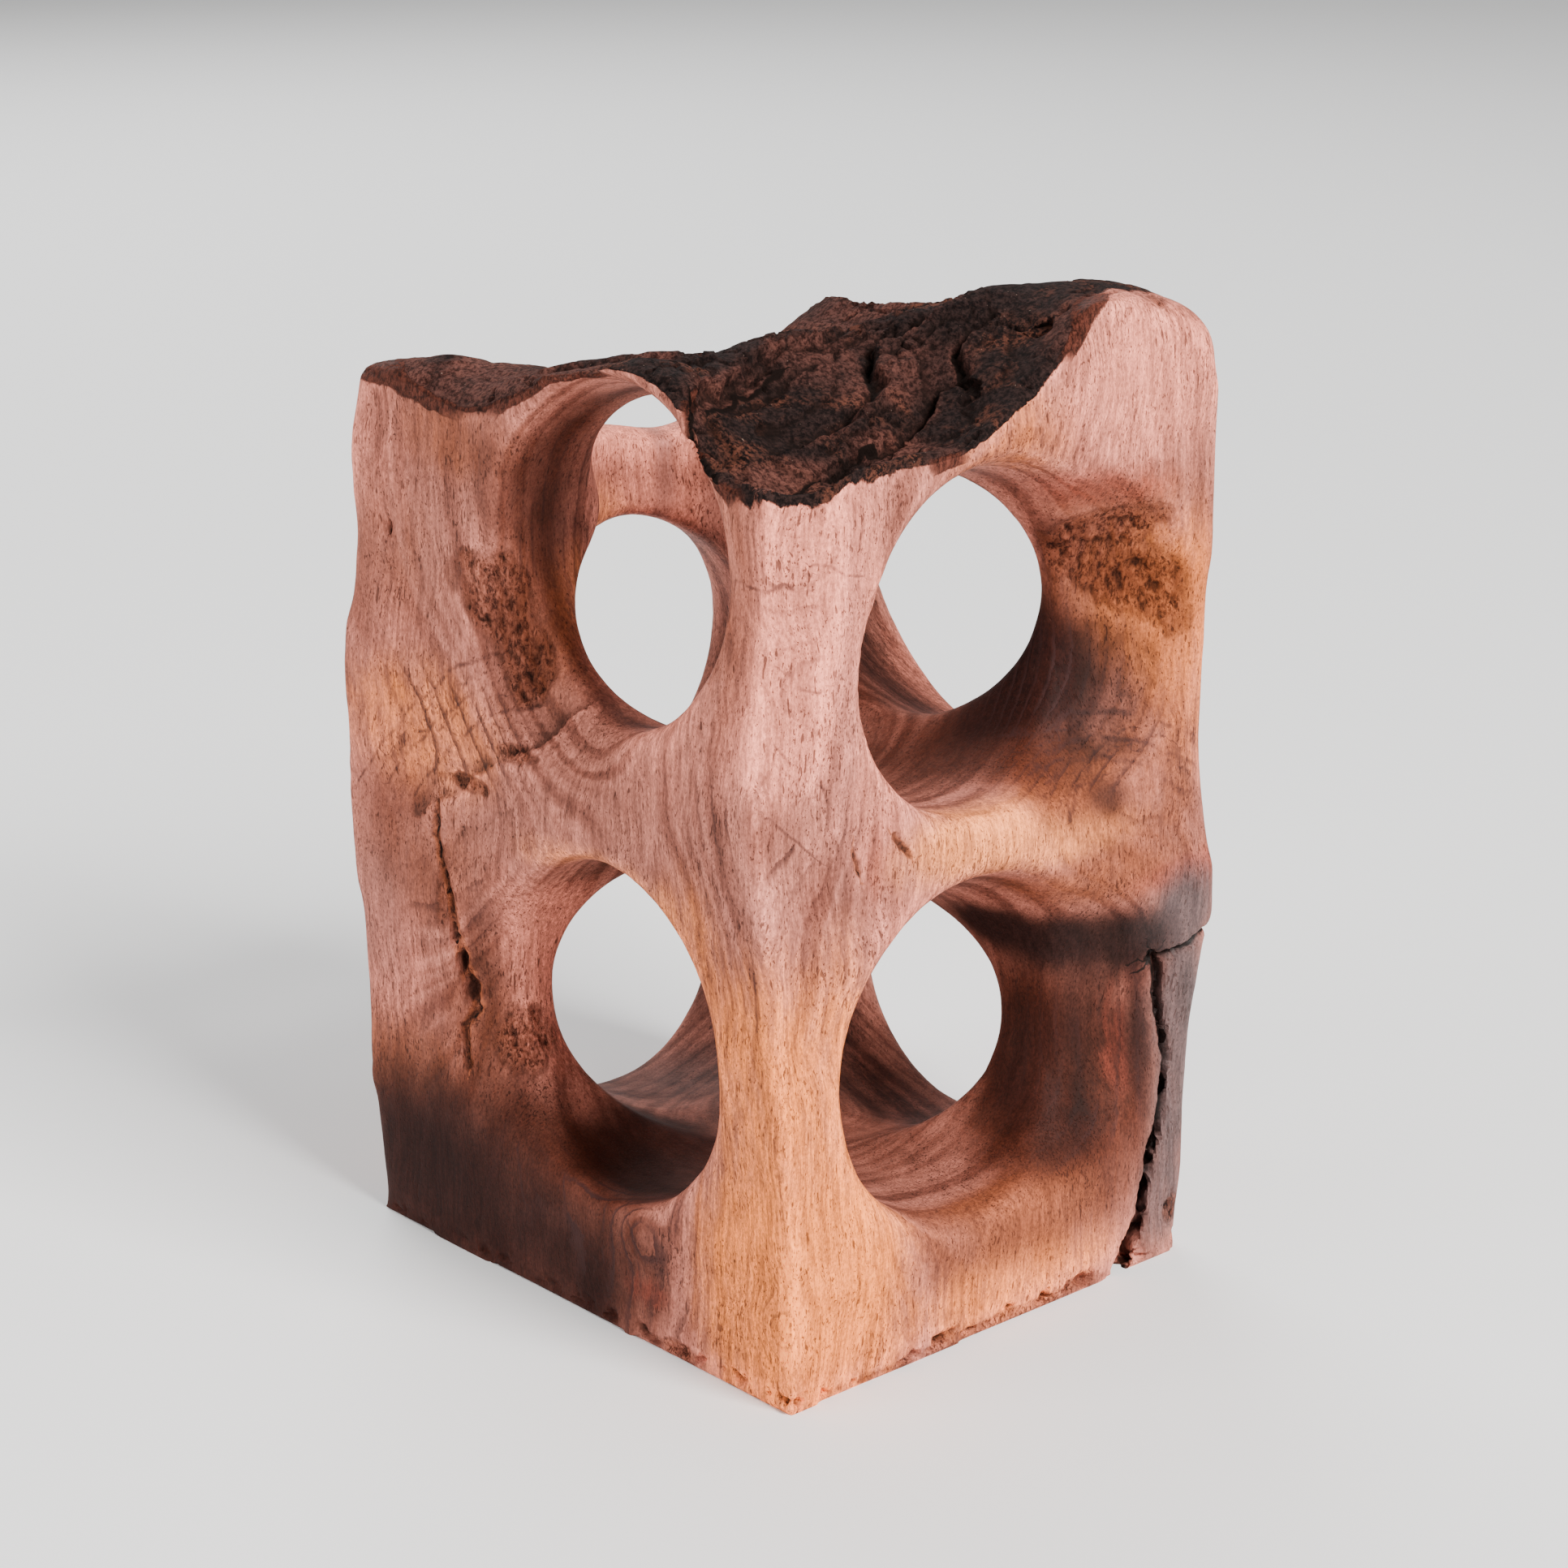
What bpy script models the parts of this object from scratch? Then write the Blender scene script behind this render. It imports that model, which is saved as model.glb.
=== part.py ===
"""Driftwood stump: one block of reddish driftwood carved into an open lattice.

The block stands on a flat sawn base. At each of two levels a round bore runs through it from the
front face to the back and another from the right face to the left, so that four corner posts and
three rings of belts are left. The top is the natural weathered wood: a dark flaky bowl at the
front right, a thin ridge behind it, and an open rotten hollow that breaks down the left wall.
Metres, +Z up, origin in the middle of the base. The front face looks along -Y, the right one +X.
"""

import math

import bmesh
import bpy
import numpy as np
from mathutils import Euler, Matrix, Vector, noise

MM = 0.001
NAME = "driftwood_stump"

# Block before it is carved
WIDTH = 83.0 * MM
DEPTH = 73.5 * MM
HEIGHT = 140.0 * MM
BELOW_SAW = 5.0 * MM
GRID_STEP = 4.0 * MM

# Remeshing and triangle budget
VOXEL = 1.1 * MM
CUTTER_VOXEL = 0.9 * MM
SMOOTH_STEPS = 4
TRIANGLES = 8600

# Bores, each a row of stations along its axis: x, y, z and radius in millimetres
BORES = {
    "upper_front_to_back": (
        (10.2, -50.0, 105.2, 22.6),
        (10.0, -38.0, 102.4, 21.2),
        (8.8, -30.0, 100.4, 20.9),
        (7.2, -20.0, 97.8, 20.9),
        (7.2, 14.0, 93.4, 20.8),
        (5.0, 27.0, 90.6, 22.2),
        (3.0, 37.5, 88.5, 24.0),
        (2.5, 49.0, 88.0, 26.5),
    ),
    "upper_right_to_left": (
        (55.0, -1.5, 93.0, 25.0),
        (42.0, -2.2, 91.2, 22.0),
        (30.0, -2.6, 89.6, 21.0),
        (8.0, -2.6, 86.0, 21.4),
        (-14.0, -2.0, 80.6, 21.6),
        (-28.0, 2.0, 73.6, 19.0),
        (-42.0, 4.0, 72.6, 19.4),
        (-54.0, 4.5, 72.0, 21.0),
    ),
    "lower_front_to_back": (
        (6.5, -50.0, 41.0, 25.0),
        (6.8, -38.0, 39.6, 22.4),
        (7.0, -26.0, 38.4, 22.0),
        (7.0, -6.0, 35.0, 20.0),
        (6.0, 14.0, 32.2, 18.8),
        (2.0, 26.0, 29.8, 20.2),
        (0.0, 37.5, 28.6, 20.8),
        (-0.5, 49.0, 28.0, 22.5),
    ),
    "lower_right_to_left": (
        (55.0, -4.0, 39.5, 25.5),
        (42.0, -4.0, 38.4, 22.8),
        (27.0, -4.0, 35.8, 20.0),
        (4.0, -4.0, 35.2, 20.6),
        (-15.0, -3.6, 34.8, 21.6),
        (-30.0, 2.4, 28.6, 18.8),
        (-42.0, 3.4, 27.0, 19.0),
        (-54.0, 4.0, 26.5, 20.5),
    ),
}
BORE_SEGMENT_STEPS = 6
BORE_BEVEL_STEPS = 10

# Hollows carved with a gouge, ellipsoids: place and radii in millimetres, turn in degrees
SCOOPS = {
    "rotten_hollow": ((-12, -2, 116), (22, 19, 21), (0, 8, 12)),
    "rotten_side": ((-6, 14, 120), (15, 13, 14), (0, 0, 30)),
    "rotten_lip": ((-34, 8, 118), (14, 15, 13), (0, 0, -15)),
    "inner_room": ((-12, 3, 96), (22.5, 20, 25), (0, 0, 0)),
    "right_recess": ((56, 13, 88), (25, 26, 26), (0, 0, 0)),
    "right_bowl": ((57, 8, 37), (24, 30, 26), (0, 0, 0)),
    "front_torn_flare": ((-1, -54, 88), (23, 25, 24), (0, 30, 0)),
    "front_low_flare": ((-5, -61, 38), (28, 33, 30), (0, 0, 0)),
    "back_upper_flare": ((16, 58, 94), (30, 28, 27), (0, 0, 0)),
    "back_lower_flare": ((16, 60, 22), (26, 28, 26), (0, 0, 0)),
    "left_upper_flare": ((-62, -12, 78), (26, 24, 27), (0, 0, 0)),
    "left_lower_flare": ((-62, 18, 34), (25, 20, 24), (0, 0, 0)),
    "near_corner_facet": ((47, -44, 92), (6, 9, 20), (0, 0, 35)),
    "broken_right_foot": ((46, 42, 2), (8.5, 9.5, 17), (0, 0, 0)),
}

# Flat cut along the near edge, a box in the same terms but with its full sides
NEAR_CHAMFER = ((46.5, -35.4, 104), (12, 18, 50), (0, 0, -28))

# Small holes and knots that the weathering keeps sharp, in the same terms as the hollows
PITS = {
    "edge_slot": ((-34.0, -37.6, 97.8), (0.7, 2.6, 2.4), (0, 8, 0)),
    "left_pit": ((-18.0, -38.4, 39.6), (2.0, 4.0, 3.6), (0, 30, 0)),
    "left_slit": ((-20.6, -37.8, 30.8), (0.7, 2.4, 4.0), (0, 4, 0)),
    "crust_hole": ((35.3, 11.1, 127.2), (1.2, 1.2, 4.5), (0, 15, 0)),
}

# Drying crack of the right face: y and z of its corners, then half its width there
CRACK = (
    (40.5, 46.0, 0.25),
    (31.1, 43.7, 0.35),
    (28.2, 42.4, 0.4),
    (30.3, 35.0, 0.45),
    (31.2, 28.4, 0.55),
    (30.3, 20.0, 0.6),
    (27.8, 12.4, 0.7),
    (26.6, 6.5, 1.1),
    (22.8, -1.0, 1.9),
)
CRACK_DEPTH = 4.5
CRACK_OVERLAP = 0.62

# Weathered top, as levels at places of the outline and the inside: x, y and z in millimetres
TOP_LEVELS = (
    (-42, -37, 117.6), (-34, -37, 119.4), (-26, -31, 119.8), (-20, -26, 119.2),
    (-12, -24, 120.0), (-5, -24, 121.8), (3, -25, 123.4), (9, -22, 124.0),
    (12, -12, 125.8), (13, 0, 126.8), (17, 6, 128.6), (22, 11, 130.2),
    (25, 17, 131.0), (29, 28, 130.2), (36, 33, 128.4), (43, 38, 123.4),
    (-20, -38, 117.0), (-12, -38, 119.2), (-5, -38, 121.6), (3, -38, 123.6),
    (9, -38, 125.2), (14, -38, 126.2), (20, -38, 125.2), (-8, -30, 121.0),
    (0, -30, 122.6), (8, -30, 124.6), (14, -30, 125.4), (21, -33, 124.0),
    (25, -35, 121.0), (29, -37, 117.2),
    (36, -38, 117.0), (44, -36, 117.0), (44, -28, 117.6), (44, -20, 118.8),
    (43, -10, 117.2), (43, -2, 120.4), (43, 4, 123.2), (43, 9, 128.4),
    (43, 14, 131.4), (43, 22, 130.8), (43, 30, 128.0), (35, -28, 110.4),
    (31, -25, 113.2), (36, -20, 112.4), (35, -10, 114.6), (27, -16, 116.6),
    (19, -20, 120.6), (33, -2, 117.6), (24, 0, 122.0), (32, 6, 124.6),
    (36, 16, 130.2), (-4, -14, 116.0), (2, 4, 115.0), (-10, 4, 106.0),
    (8, 14, 118.0), (-4, 22, 112.0), (10, 25, 121.0), (8, 38, 125.0),
    (-9, 38, 122.8), (-20, 37, 121.4), (-31, 37, 120.4), (-37, 37, 115.6),
    (-43, 38, 110.6), (-24, 27, 113.0), (-43, 30, 109.4), (-43, 22, 107.0),
    (-43, 18, 103.2), (-43, 15, 101.9), (-43, 11, 104.0), (-43, 5, 104.8),
    (-43, -4, 106.0), (-43, -14, 110.6), (-43, -25, 116.2), (-30, -14, 111.0),
    (-30, 10, 103.0), (22, 38, 127.4),
)
TOP_REACH = 3.0
TOP_CELLS = 96

# Broken flake edges of the top: x and y along the edge, how far the ground on its right falls
# (or rises, where negative) and how soon it comes back, in millimetres
LEDGES = {
    "bowl_rim": (((24, -36), (19.4, -28), (15.8, -18), (14.6, -8), (18, 2)), 2.2, 8.0),
    "flake": (((24, -9), (22.2, -4.4), (20.6, -1.6), (21.5, 2.2), (27, 6.2)), -1.3, 7.0),
    "inner_flake": (((33, 7), (29.8, 3.3), (30.0, -0.5), (31.2, -3.0), (29.5, -7.5)), 1.7, 4.0),
    "near_lip": (((27, -23), (29.5, -14), (31.5, -8)), 1.2, 5.0),
    "back_shelf": (((2, 40), (-6, 31), (-17, 30), (-29, 33), (-38, 30)), 1.6, 6.0),
}
LEDGE_EDGE = 0.7
CRUST_ROUGHNESS = 0.9
CRUST_GRAIN = 0.16
CRUST_STEPS = 3.0

# Hand-shaped swellings and dents of the block: place, push and reach in millimetres
PULLS = (
    ((-42, -37, 76), (-2.3, -2.5, 0), 15),
    ((-42, -37, 50), (-1.8, -1.9, 0), 15),
    ((-42, -37, 107), (-1.0, -1.1, 0), 7),
    ((-42, -37, 24), (-0.9, -1.0, 0), 12),
    ((42, 37, 50), (2.0, 2.3, 0), 14),
    ((42, 37, 108), (0.6, 0.7, 0), 16),
    ((43, -37, 75), (-2.9, -3.2, 0), 16),
    ((43, -37, 47), (-1.0, -1.1, 0), 15),
    ((-18, -37, 62), (0, 1.4, 0), 16),
    ((20, -37, 70), (0, -0.6, 0), 10),
    ((42, 20, 66), (0.6, 0, 0), 12),
    ((-42, 20, 60), (-1.0, 0.4, 0), 18),
    ((-42, -8, 48), (1.6, 0, 0), 14),
    ((-42, 14, 96), (1.8, 0, 0), 12),
    ((-42, 37, 90), (1.8, -1.6, 0), 16),
    ((-42, 37, 30), (-1.2, 1.4, 0), 16),
    ((-20, 37, 66), (0, 2.6, 0), 18),
    ((12, 37, 60), (0, -1.8, 0), 14),
    ((30, 37, 84), (0, 1.4, 0), 14),
    ((-12, 37, 112), (0, 1.6, 0), 12),
)
NEAR_CORNER_SPREAD = 1.7 * MM
SURFACE_WAVES = 0.35 * MM
WAVE_COUNT = 3
WAVE_SCALE = 46.0


def clear_scene():
    for obj in list(bpy.data.objects):
        bpy.data.objects.remove(obj)


def make_collection(name, hidden=False):
    collection = bpy.data.collections.new(name)
    collection.hide_render = hidden
    bpy.context.scene.collection.children.link(collection)
    return collection


def object_from_bmesh(bm, name, collection):
    mesh = bpy.data.meshes.new(name)
    bm.to_mesh(mesh)
    bm.free()
    obj = bpy.data.objects.new(name, mesh)
    collection.objects.link(obj)
    return obj


def as_cutter(obj):
    obj.hide_render = True
    obj.display_type = "WIRE"
    return obj


def placed(place, size, turn):
    """The transform of a tool from its place and size in millimetres and its turn in degrees."""
    angles = Euler([math.radians(angle) for angle in turn])
    return Matrix.LocRotScale(Vector(place) * MM, angles, Vector(size) * MM)


def read_points(mesh):
    points = np.empty(len(mesh.vertices) * 3)
    mesh.vertices.foreach_get("co", points)
    return points.reshape(-1, 3)


def write_points(mesh, points):
    mesh.vertices.foreach_set("co", points.ravel())
    mesh.update()


def waves(points, seed):
    """A slow uneven swell, the mean of sine waves that run in different directions."""
    rng = np.random.default_rng(seed)
    total = np.zeros(len(points))
    for _ in range(WAVE_COUNT):
        direction = rng.normal(size=3)
        direction /= np.linalg.norm(direction)
        start = rng.uniform(0.0, 2.0 * math.pi)
        total += np.sin(points @ direction * WAVE_SCALE * 2.0 * math.pi + start)
    return total / WAVE_COUNT


def carved_block(collection):
    """The squared block, a gridded box whose faces and corners are pushed by hand."""
    bm = bmesh.new()
    bmesh.ops.create_cube(bm, size=1.0)
    cuts = round(HEIGHT / GRID_STEP)
    bmesh.ops.subdivide_edges(bm, edges=bm.edges[:], cuts=cuts, use_grid_fill=True)
    obj = object_from_bmesh(bm, NAME, collection)
    mesh = obj.data
    points = read_points(mesh)
    points *= (WIDTH, DEPTH, HEIGHT + BELOW_SAW)
    points[:, 2] += (HEIGHT - BELOW_SAW) / 2.0
    on_side = np.abs(points[:, :2]) > np.array((WIDTH, DEPTH)) / 2.01
    outward = np.zeros_like(points)
    outward[:, :2] = np.sign(points[:, :2]) * on_side
    near = 0.5 - points[:, 1] / DEPTH
    points[:, 0] += NEAR_CORNER_SPREAD * near * (outward[:, 0] > 0)
    points += outward * (waves(points, 3) * SURFACE_WAVES)[:, None]
    for place, push, reach in PULLS:
        distance = np.linalg.norm(points - np.array(place) * MM, axis=1)
        fall = np.exp(-((distance / (reach * MM)) ** 2))
        points += fall[:, None] * np.array(push) * MM
    write_points(mesh, points)
    return obj


def bore_cutter(name, stations, collection):
    """A flared bore: a smooth curve through its stations, thick as its radius at each of them."""
    curve = bpy.data.curves.new(name, "CURVE")
    curve.dimensions = "3D"
    curve.bevel_depth = MM
    curve.bevel_resolution = BORE_BEVEL_STEPS
    curve.use_fill_caps = True
    curve.resolution_u = BORE_SEGMENT_STEPS
    spline = curve.splines.new("BEZIER")
    spline.bezier_points.add(len(stations) - 1)
    spline.radius_interpolation = "CARDINAL"
    for point, (x, y, z, radius) in zip(spline.bezier_points, stations):
        point.co = (x * MM, y * MM, z * MM)
        point.radius = radius
        point.handle_left_type = "AUTO"
        point.handle_right_type = "AUTO"
    tube = bpy.data.objects.new(name, curve)
    collection.objects.link(tube)
    mesh = bpy.data.meshes.new_from_object(tube.evaluated_get(bpy.context.evaluated_depsgraph_get()))
    bm = bmesh.new()
    bm.from_mesh(mesh)
    bmesh.ops.remove_doubles(bm, verts=bm.verts[:], dist=0.01 * MM)
    bmesh.ops.recalc_face_normals(bm, faces=bm.faces[:])
    bpy.data.objects.remove(tube)
    return as_cutter(object_from_bmesh(bm, name, collection))


def scoop(name, place, size, turn, fineness, collection):
    """A hollow carved with a gouge: an ellipsoid at place, with its three radii and its turn."""
    bm = bmesh.new()
    bmesh.ops.create_icosphere(bm, subdivisions=fineness, radius=1.0)
    bmesh.ops.transform(bm, matrix=placed(place, size, turn), verts=bm.verts[:])
    return as_cutter(object_from_bmesh(bm, name, collection))


def slab(name, place, size, turn, collection):
    """A flat cut: a box with its middle at place."""
    bm = bmesh.new()
    bmesh.ops.create_cube(bm, size=1.0)
    bmesh.ops.transform(bm, matrix=placed(place, size, turn), verts=bm.verts[:])
    return as_cutter(object_from_bmesh(bm, name, collection))


def crack_cutters(collection):
    """The crack as a chain of thin lenses, each from one corner of its path to the next."""
    cutters = []
    for index, (start, end) in enumerate(zip(CRACK, CRACK[1:])):
        run, rise = end[0] - start[0], end[1] - start[1]
        middle = (WIDTH / MM / 2.0, (start[0] + end[0]) / 2.0, (start[1] + end[1]) / 2.0)
        size = (CRACK_DEPTH, 0.5 * (start[2] + end[2]), CRACK_OVERLAP * math.hypot(run, rise))
        turn = (math.degrees(math.atan2(-run, rise)), 0, 0)
        cutters.append(scoop(f"cut_crack_{index + 1}", middle, size, turn, 2, collection))
    return cutters


def top_height(x, y):
    """Height of the top at x, y: multiquadric interpolation of the levels, in millimetres."""
    levels = np.array(TOP_LEVELS, dtype=float)
    places = levels[:, :2]
    mean = levels[:, 2].mean()

    def kernel(a, b):
        gap = np.linalg.norm(a[:, None, :] - b[None, :, :], axis=2)
        return np.sqrt(gap**2 + TOP_REACH**2)

    weights = np.linalg.solve(kernel(places, places), levels[:, 2] - mean)
    asked = np.stack([x, y], axis=1)
    return kernel(asked, places) @ weights + mean


def crust_noise(x, y):
    """Flaky relief of the top: fractal noise, partly rounded to low steps."""
    relief = np.array([
        noise.fractal(Vector((a * CRUST_GRAIN, b * CRUST_GRAIN, 1.7)), 0.8, 2.1, 3)
        for a, b in zip(x, y)
    ])
    stepped = np.round(relief * CRUST_STEPS) / CRUST_STEPS
    return (0.45 * relief + 0.55 * stepped) * CRUST_ROUGHNESS


def ledge(x, y, path, fall, reach):
    """A broken edge: beyond the path, on its right, the ground steps down and slowly comes back."""
    nearest = np.full(len(x), np.inf)
    side = np.zeros(len(x))
    for (ax, ay), (bx, by) in zip(path, path[1:]):
        run = np.array((bx - ax, by - ay), dtype=float)
        along = ((x - ax) * run[0] + (y - ay) * run[1]) / (run @ run)
        held = np.clip(along, 0.0, 1.0)
        dx, dy = x - ax - held * run[0], y - ay - held * run[1]
        distance = np.hypot(dx, dy)
        closer = distance < nearest
        nearest = np.where(closer, distance, nearest)
        right = np.sign(dx * run[1] - dy * run[0]) * (1.0 - np.clip(np.abs(along - held) * 2.0, 0.0, 1.0))
        side = np.where(closer, right, side)
    beyond = np.clip(side * nearest / LEDGE_EDGE, 0.0, 1.0)
    return -fall * beyond * np.exp(-((nearest / reach) ** 2))


def top_cutter(collection):
    """Everything above the weathered top: a grid on its levels, extruded up past the block."""
    bm = bmesh.new()
    bmesh.ops.create_grid(bm, x_segments=TOP_CELLS, y_segments=TOP_CELLS, size=0.6 * WIDTH)
    lower = bm.verts[:]
    x = np.array([vert.co.x for vert in lower]) / MM
    y = np.array([vert.co.y for vert in lower]) / MM
    z = top_height(x, y) + crust_noise(x, y)
    for path, fall, reach in LEDGES.values():
        z += ledge(x, y, path, fall, reach)
    for vert, level in zip(lower, z):
        vert.co.z = level * MM
    raised = bmesh.ops.extrude_face_region(bm, geom=bm.faces[:])["geom"]
    for item in raised:
        if isinstance(item, bmesh.types.BMVert):
            item.co.z = 1.15 * HEIGHT
    bmesh.ops.recalc_face_normals(bm, faces=bm.faces[:])
    return as_cutter(object_from_bmesh(bm, "cut_top", collection))


def fused_cutter(name, tools, collection):
    """Several overlapping cutters fused by voxels into one closed cutter."""
    bm = bmesh.new()
    for tool in tools:
        bm.from_mesh(tool.data)
    fused = as_cutter(object_from_bmesh(bm, name, collection))
    remesh = fused.modifiers.new("fused", "REMESH")
    remesh.mode = "VOXEL"
    remesh.voxel_size = CUTTER_VOXEL
    return fused


def subtract(obj, cutter):
    cut = obj.modifiers.new(cutter.name, "BOOLEAN")
    cut.operation = "DIFFERENCE"
    cut.solver = "EXACT"
    cut.object = cutter


def weather(obj):
    """Fuse and soften the carved faces, then thin the mesh to its triangle budget."""
    remesh = obj.modifiers.new("weathered", "REMESH")
    remesh.mode = "VOXEL"
    remesh.voxel_size = VOXEL
    soften = obj.modifiers.new("softened", "SMOOTH")
    soften.factor = 0.5
    soften.iterations = SMOOTH_STEPS
    bpy.context.view_layer.update()
    evaluated = obj.evaluated_get(bpy.context.evaluated_depsgraph_get())
    shape = evaluated.to_mesh()
    triangles = sum(len(face.vertices) - 2 for face in shape.polygons)
    evaluated.to_mesh_clear()
    thin = obj.modifiers.new("thinned", "DECIMATE")
    thin.ratio = TRIANGLES / triangles
    thin.use_collapse_triangulate = True


def wood_material():
    material = bpy.data.materials.new("reddish driftwood")
    material.use_nodes = True
    shader = material.node_tree.nodes["Principled BSDF"]
    shader.inputs["Base Color"].default_value = (0.36, 0.17, 0.10, 1.0)
    shader.inputs["Roughness"].default_value = 0.62
    shader.inputs["Metallic"].default_value = 0.0
    material.diffuse_color = (0.36, 0.17, 0.10, 1.0)
    return material


def main():
    clear_scene()
    parts = make_collection(NAME)
    cutters = make_collection("cutters", hidden=True)
    stump = carved_block(parts)
    subtract(stump, top_cutter(cutters))
    tools = [bore_cutter("bore_" + name, stations, cutters) for name, stations in BORES.items()]
    for name, (place, size, turn) in SCOOPS.items():
        tools.append(scoop("gouge_" + name, place, size, turn, 5, cutters))
    subtract(stump, fused_cutter("cut_hollows", tools, cutters))
    subtract(stump, slab("cut_near_chamfer", *NEAR_CHAMFER, cutters))
    weather(stump)
    below = slab("cut_base", (0, 0, -20), (120, 120, 40), (0, 0, 0), cutters)
    subtract(stump, below)
    for name, (place, size, turn) in PITS.items():
        subtract(stump, scoop("cut_" + name, place, size, turn, 2, cutters))
    for cutter in crack_cutters(cutters):
        subtract(stump, cutter)
    stump.data.materials.append(wood_material())


if __name__ == "__main__":
    main()
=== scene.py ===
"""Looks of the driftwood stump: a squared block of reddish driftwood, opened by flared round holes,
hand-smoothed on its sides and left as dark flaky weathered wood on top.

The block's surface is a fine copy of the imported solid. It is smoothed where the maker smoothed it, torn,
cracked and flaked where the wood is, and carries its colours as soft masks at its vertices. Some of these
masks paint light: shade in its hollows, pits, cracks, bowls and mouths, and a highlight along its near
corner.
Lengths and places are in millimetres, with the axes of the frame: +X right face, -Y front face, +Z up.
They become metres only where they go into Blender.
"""
import itertools
import math

import bmesh
import bpy
import numpy as np
from mathutils import Matrix, Vector


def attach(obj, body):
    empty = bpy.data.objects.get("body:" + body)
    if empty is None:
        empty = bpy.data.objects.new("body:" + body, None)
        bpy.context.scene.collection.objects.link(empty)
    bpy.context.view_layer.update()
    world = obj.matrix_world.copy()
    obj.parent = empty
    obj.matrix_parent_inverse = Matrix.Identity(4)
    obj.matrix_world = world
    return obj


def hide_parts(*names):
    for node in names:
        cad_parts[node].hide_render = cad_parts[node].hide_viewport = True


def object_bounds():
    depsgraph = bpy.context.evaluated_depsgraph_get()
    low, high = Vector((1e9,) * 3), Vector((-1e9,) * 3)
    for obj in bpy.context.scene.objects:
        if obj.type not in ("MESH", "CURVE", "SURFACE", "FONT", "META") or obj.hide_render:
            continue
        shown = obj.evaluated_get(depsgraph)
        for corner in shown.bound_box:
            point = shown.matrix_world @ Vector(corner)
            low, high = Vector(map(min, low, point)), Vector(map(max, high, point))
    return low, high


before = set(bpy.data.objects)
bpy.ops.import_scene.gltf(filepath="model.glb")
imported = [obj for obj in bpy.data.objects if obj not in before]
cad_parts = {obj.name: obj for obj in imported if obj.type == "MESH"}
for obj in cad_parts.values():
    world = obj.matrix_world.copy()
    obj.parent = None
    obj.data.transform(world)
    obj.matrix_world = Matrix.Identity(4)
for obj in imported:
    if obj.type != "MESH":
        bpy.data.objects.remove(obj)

CAD_BOX = [[float(v) for v in corner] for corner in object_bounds()]
MM = 0.001
BLOCK = "driftwood_stump"

# Camera: it looks at a point half way up the block from half a metre away.
CAMERA_TURN = math.radians(48.1278)
CAMERA_RISE = math.radians(17.8398)
CAMERA_DISTANCE = 500.0
CAMERA_AIM_HEIGHT = 65.0
CAMERA_SIDESTEP = 0.7
CAMERA_LIFT = -1.9
CAMERA_LENS = 87.69
CAMERA_SENSOR = 36.0
CAMERA_NEAR = 20.0

# Surface mesh: its fineness and smoothing, and the creases that it spares
VOXEL = 0.55
SURFACE_TRIANGLES = 194000
SMOOTH_STEPS = 26
CREASE_STEPS = 2
CREASE_SOFTENING = 0.6
CREASE_CALM_STEPS = 2
CREASE_BEND = (0.035, 0.090)
CREASE_SPREAD_STEPS = 3
CREASE_GAIN = 1.6
SHARP_ANGLE = math.radians(22.0)
WELD = 0.001
BASE_FLAT = 0.25
BOX_GAP = 0.002

# Growth rings: they lie round a bent pith inside the trunk, which tapers upwards.
PITH = (-6.0, 9.0)
PITH_BEND = (4.0, -5.0)
PITH_BEND_HEIGHT = 46.0
RING_TAPER = 0.11
RING_WANDER = 2.6
RING_WANDER_SIZE = 19.0

# Places where the rings swell round a buried knot or a bud: x, y, z, radius, swell.
RING_SWELLS = [
    (42.1, 18.7, 66, 8, 7), (41.5, -32, 105, 5.5, 3.6),
    (41.1, -33, 92.5, 6, -3.4), (40.9, -31, 74, 6, 3.6),
    (-30, -38, 74, 11, 4), (40.3, -36.9, 10.9, 2.6, 4.2),
    (14.2, -36.7, 14.7, 2.8, 3.8), (-34.4, 2.9, 95.4, 2.6, 4),
    (-14, -36, 58, 17, 16), (6, -36, 66, 7, 3),
    (20, 38, 64, 8, 6), (-41, -14, 58, 7, 5),
]

# Shares of its reach at which a spot starts to fade and ends
SPOT_FADE = (0.5, 1.6)

# Soft colour spots on the wood: x, y, z, reach along x, reach along y, reach along z, strength.
PINK_SPOTS = [
    (43, 22, 120, 10, 13, 9, 0.9), (42, -31, 102, 8, 8, 16, 1),
    (41, -34, 88, 6, 7, 8, 0.8), (38, -36, 86, 6, 5, 7, 0.7),
    (43, -22, 76, 6, 7, 9, 0.55), (43, -12, 58, 6, 10, 6, 0.5),
    (-34, 5, 99, 9, 11, 11, 1), (-37, -38, 40, 7, 6, 12, 0.6),
    (-36, -38, 62, 8, 6, 10, 0.4), (-36, -38, 86, 8, 6, 6, 0.4),
    (-14, -28, 44, 5, 7, 15, 1), (22, -38, 82, 12, 6, 7, 0.3),
    (-38, -38, 108, 8, 6, 12, 0.3), (-42, 22, 110, 8, 12, 14, 0.6),
    (-8, 38, 66, 14, 8, 9, 0.6),
]
ORANGE_SPOTS = [
    (43, -29, 15, 7, 11, 15, 1), (43, 2, 6, 7, 16, 5, 0.6),
    (43, 0, 115, 7, 8, 7, 0.2), (36, -38, 14, 9, 7, 15, 0.85),
    (40, -37, 38, 8, 6, 17, 0.65), (43, -28, 40, 7, 6, 16, 0.6),
    (34, 30, 92, 10, 9, 10, 0.6), (40, 33, 84, 8, 5, 14, 0.5),
    (-28, -37, 72, 13, 6, 8, 0.35), (26, -37, 48, 7, 6, 14, 0.35),
    (20, 38, 20, 14, 8, 13, 0.7), (-42, -20, 24, 8, 12, 16, 0.6),
]
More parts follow.
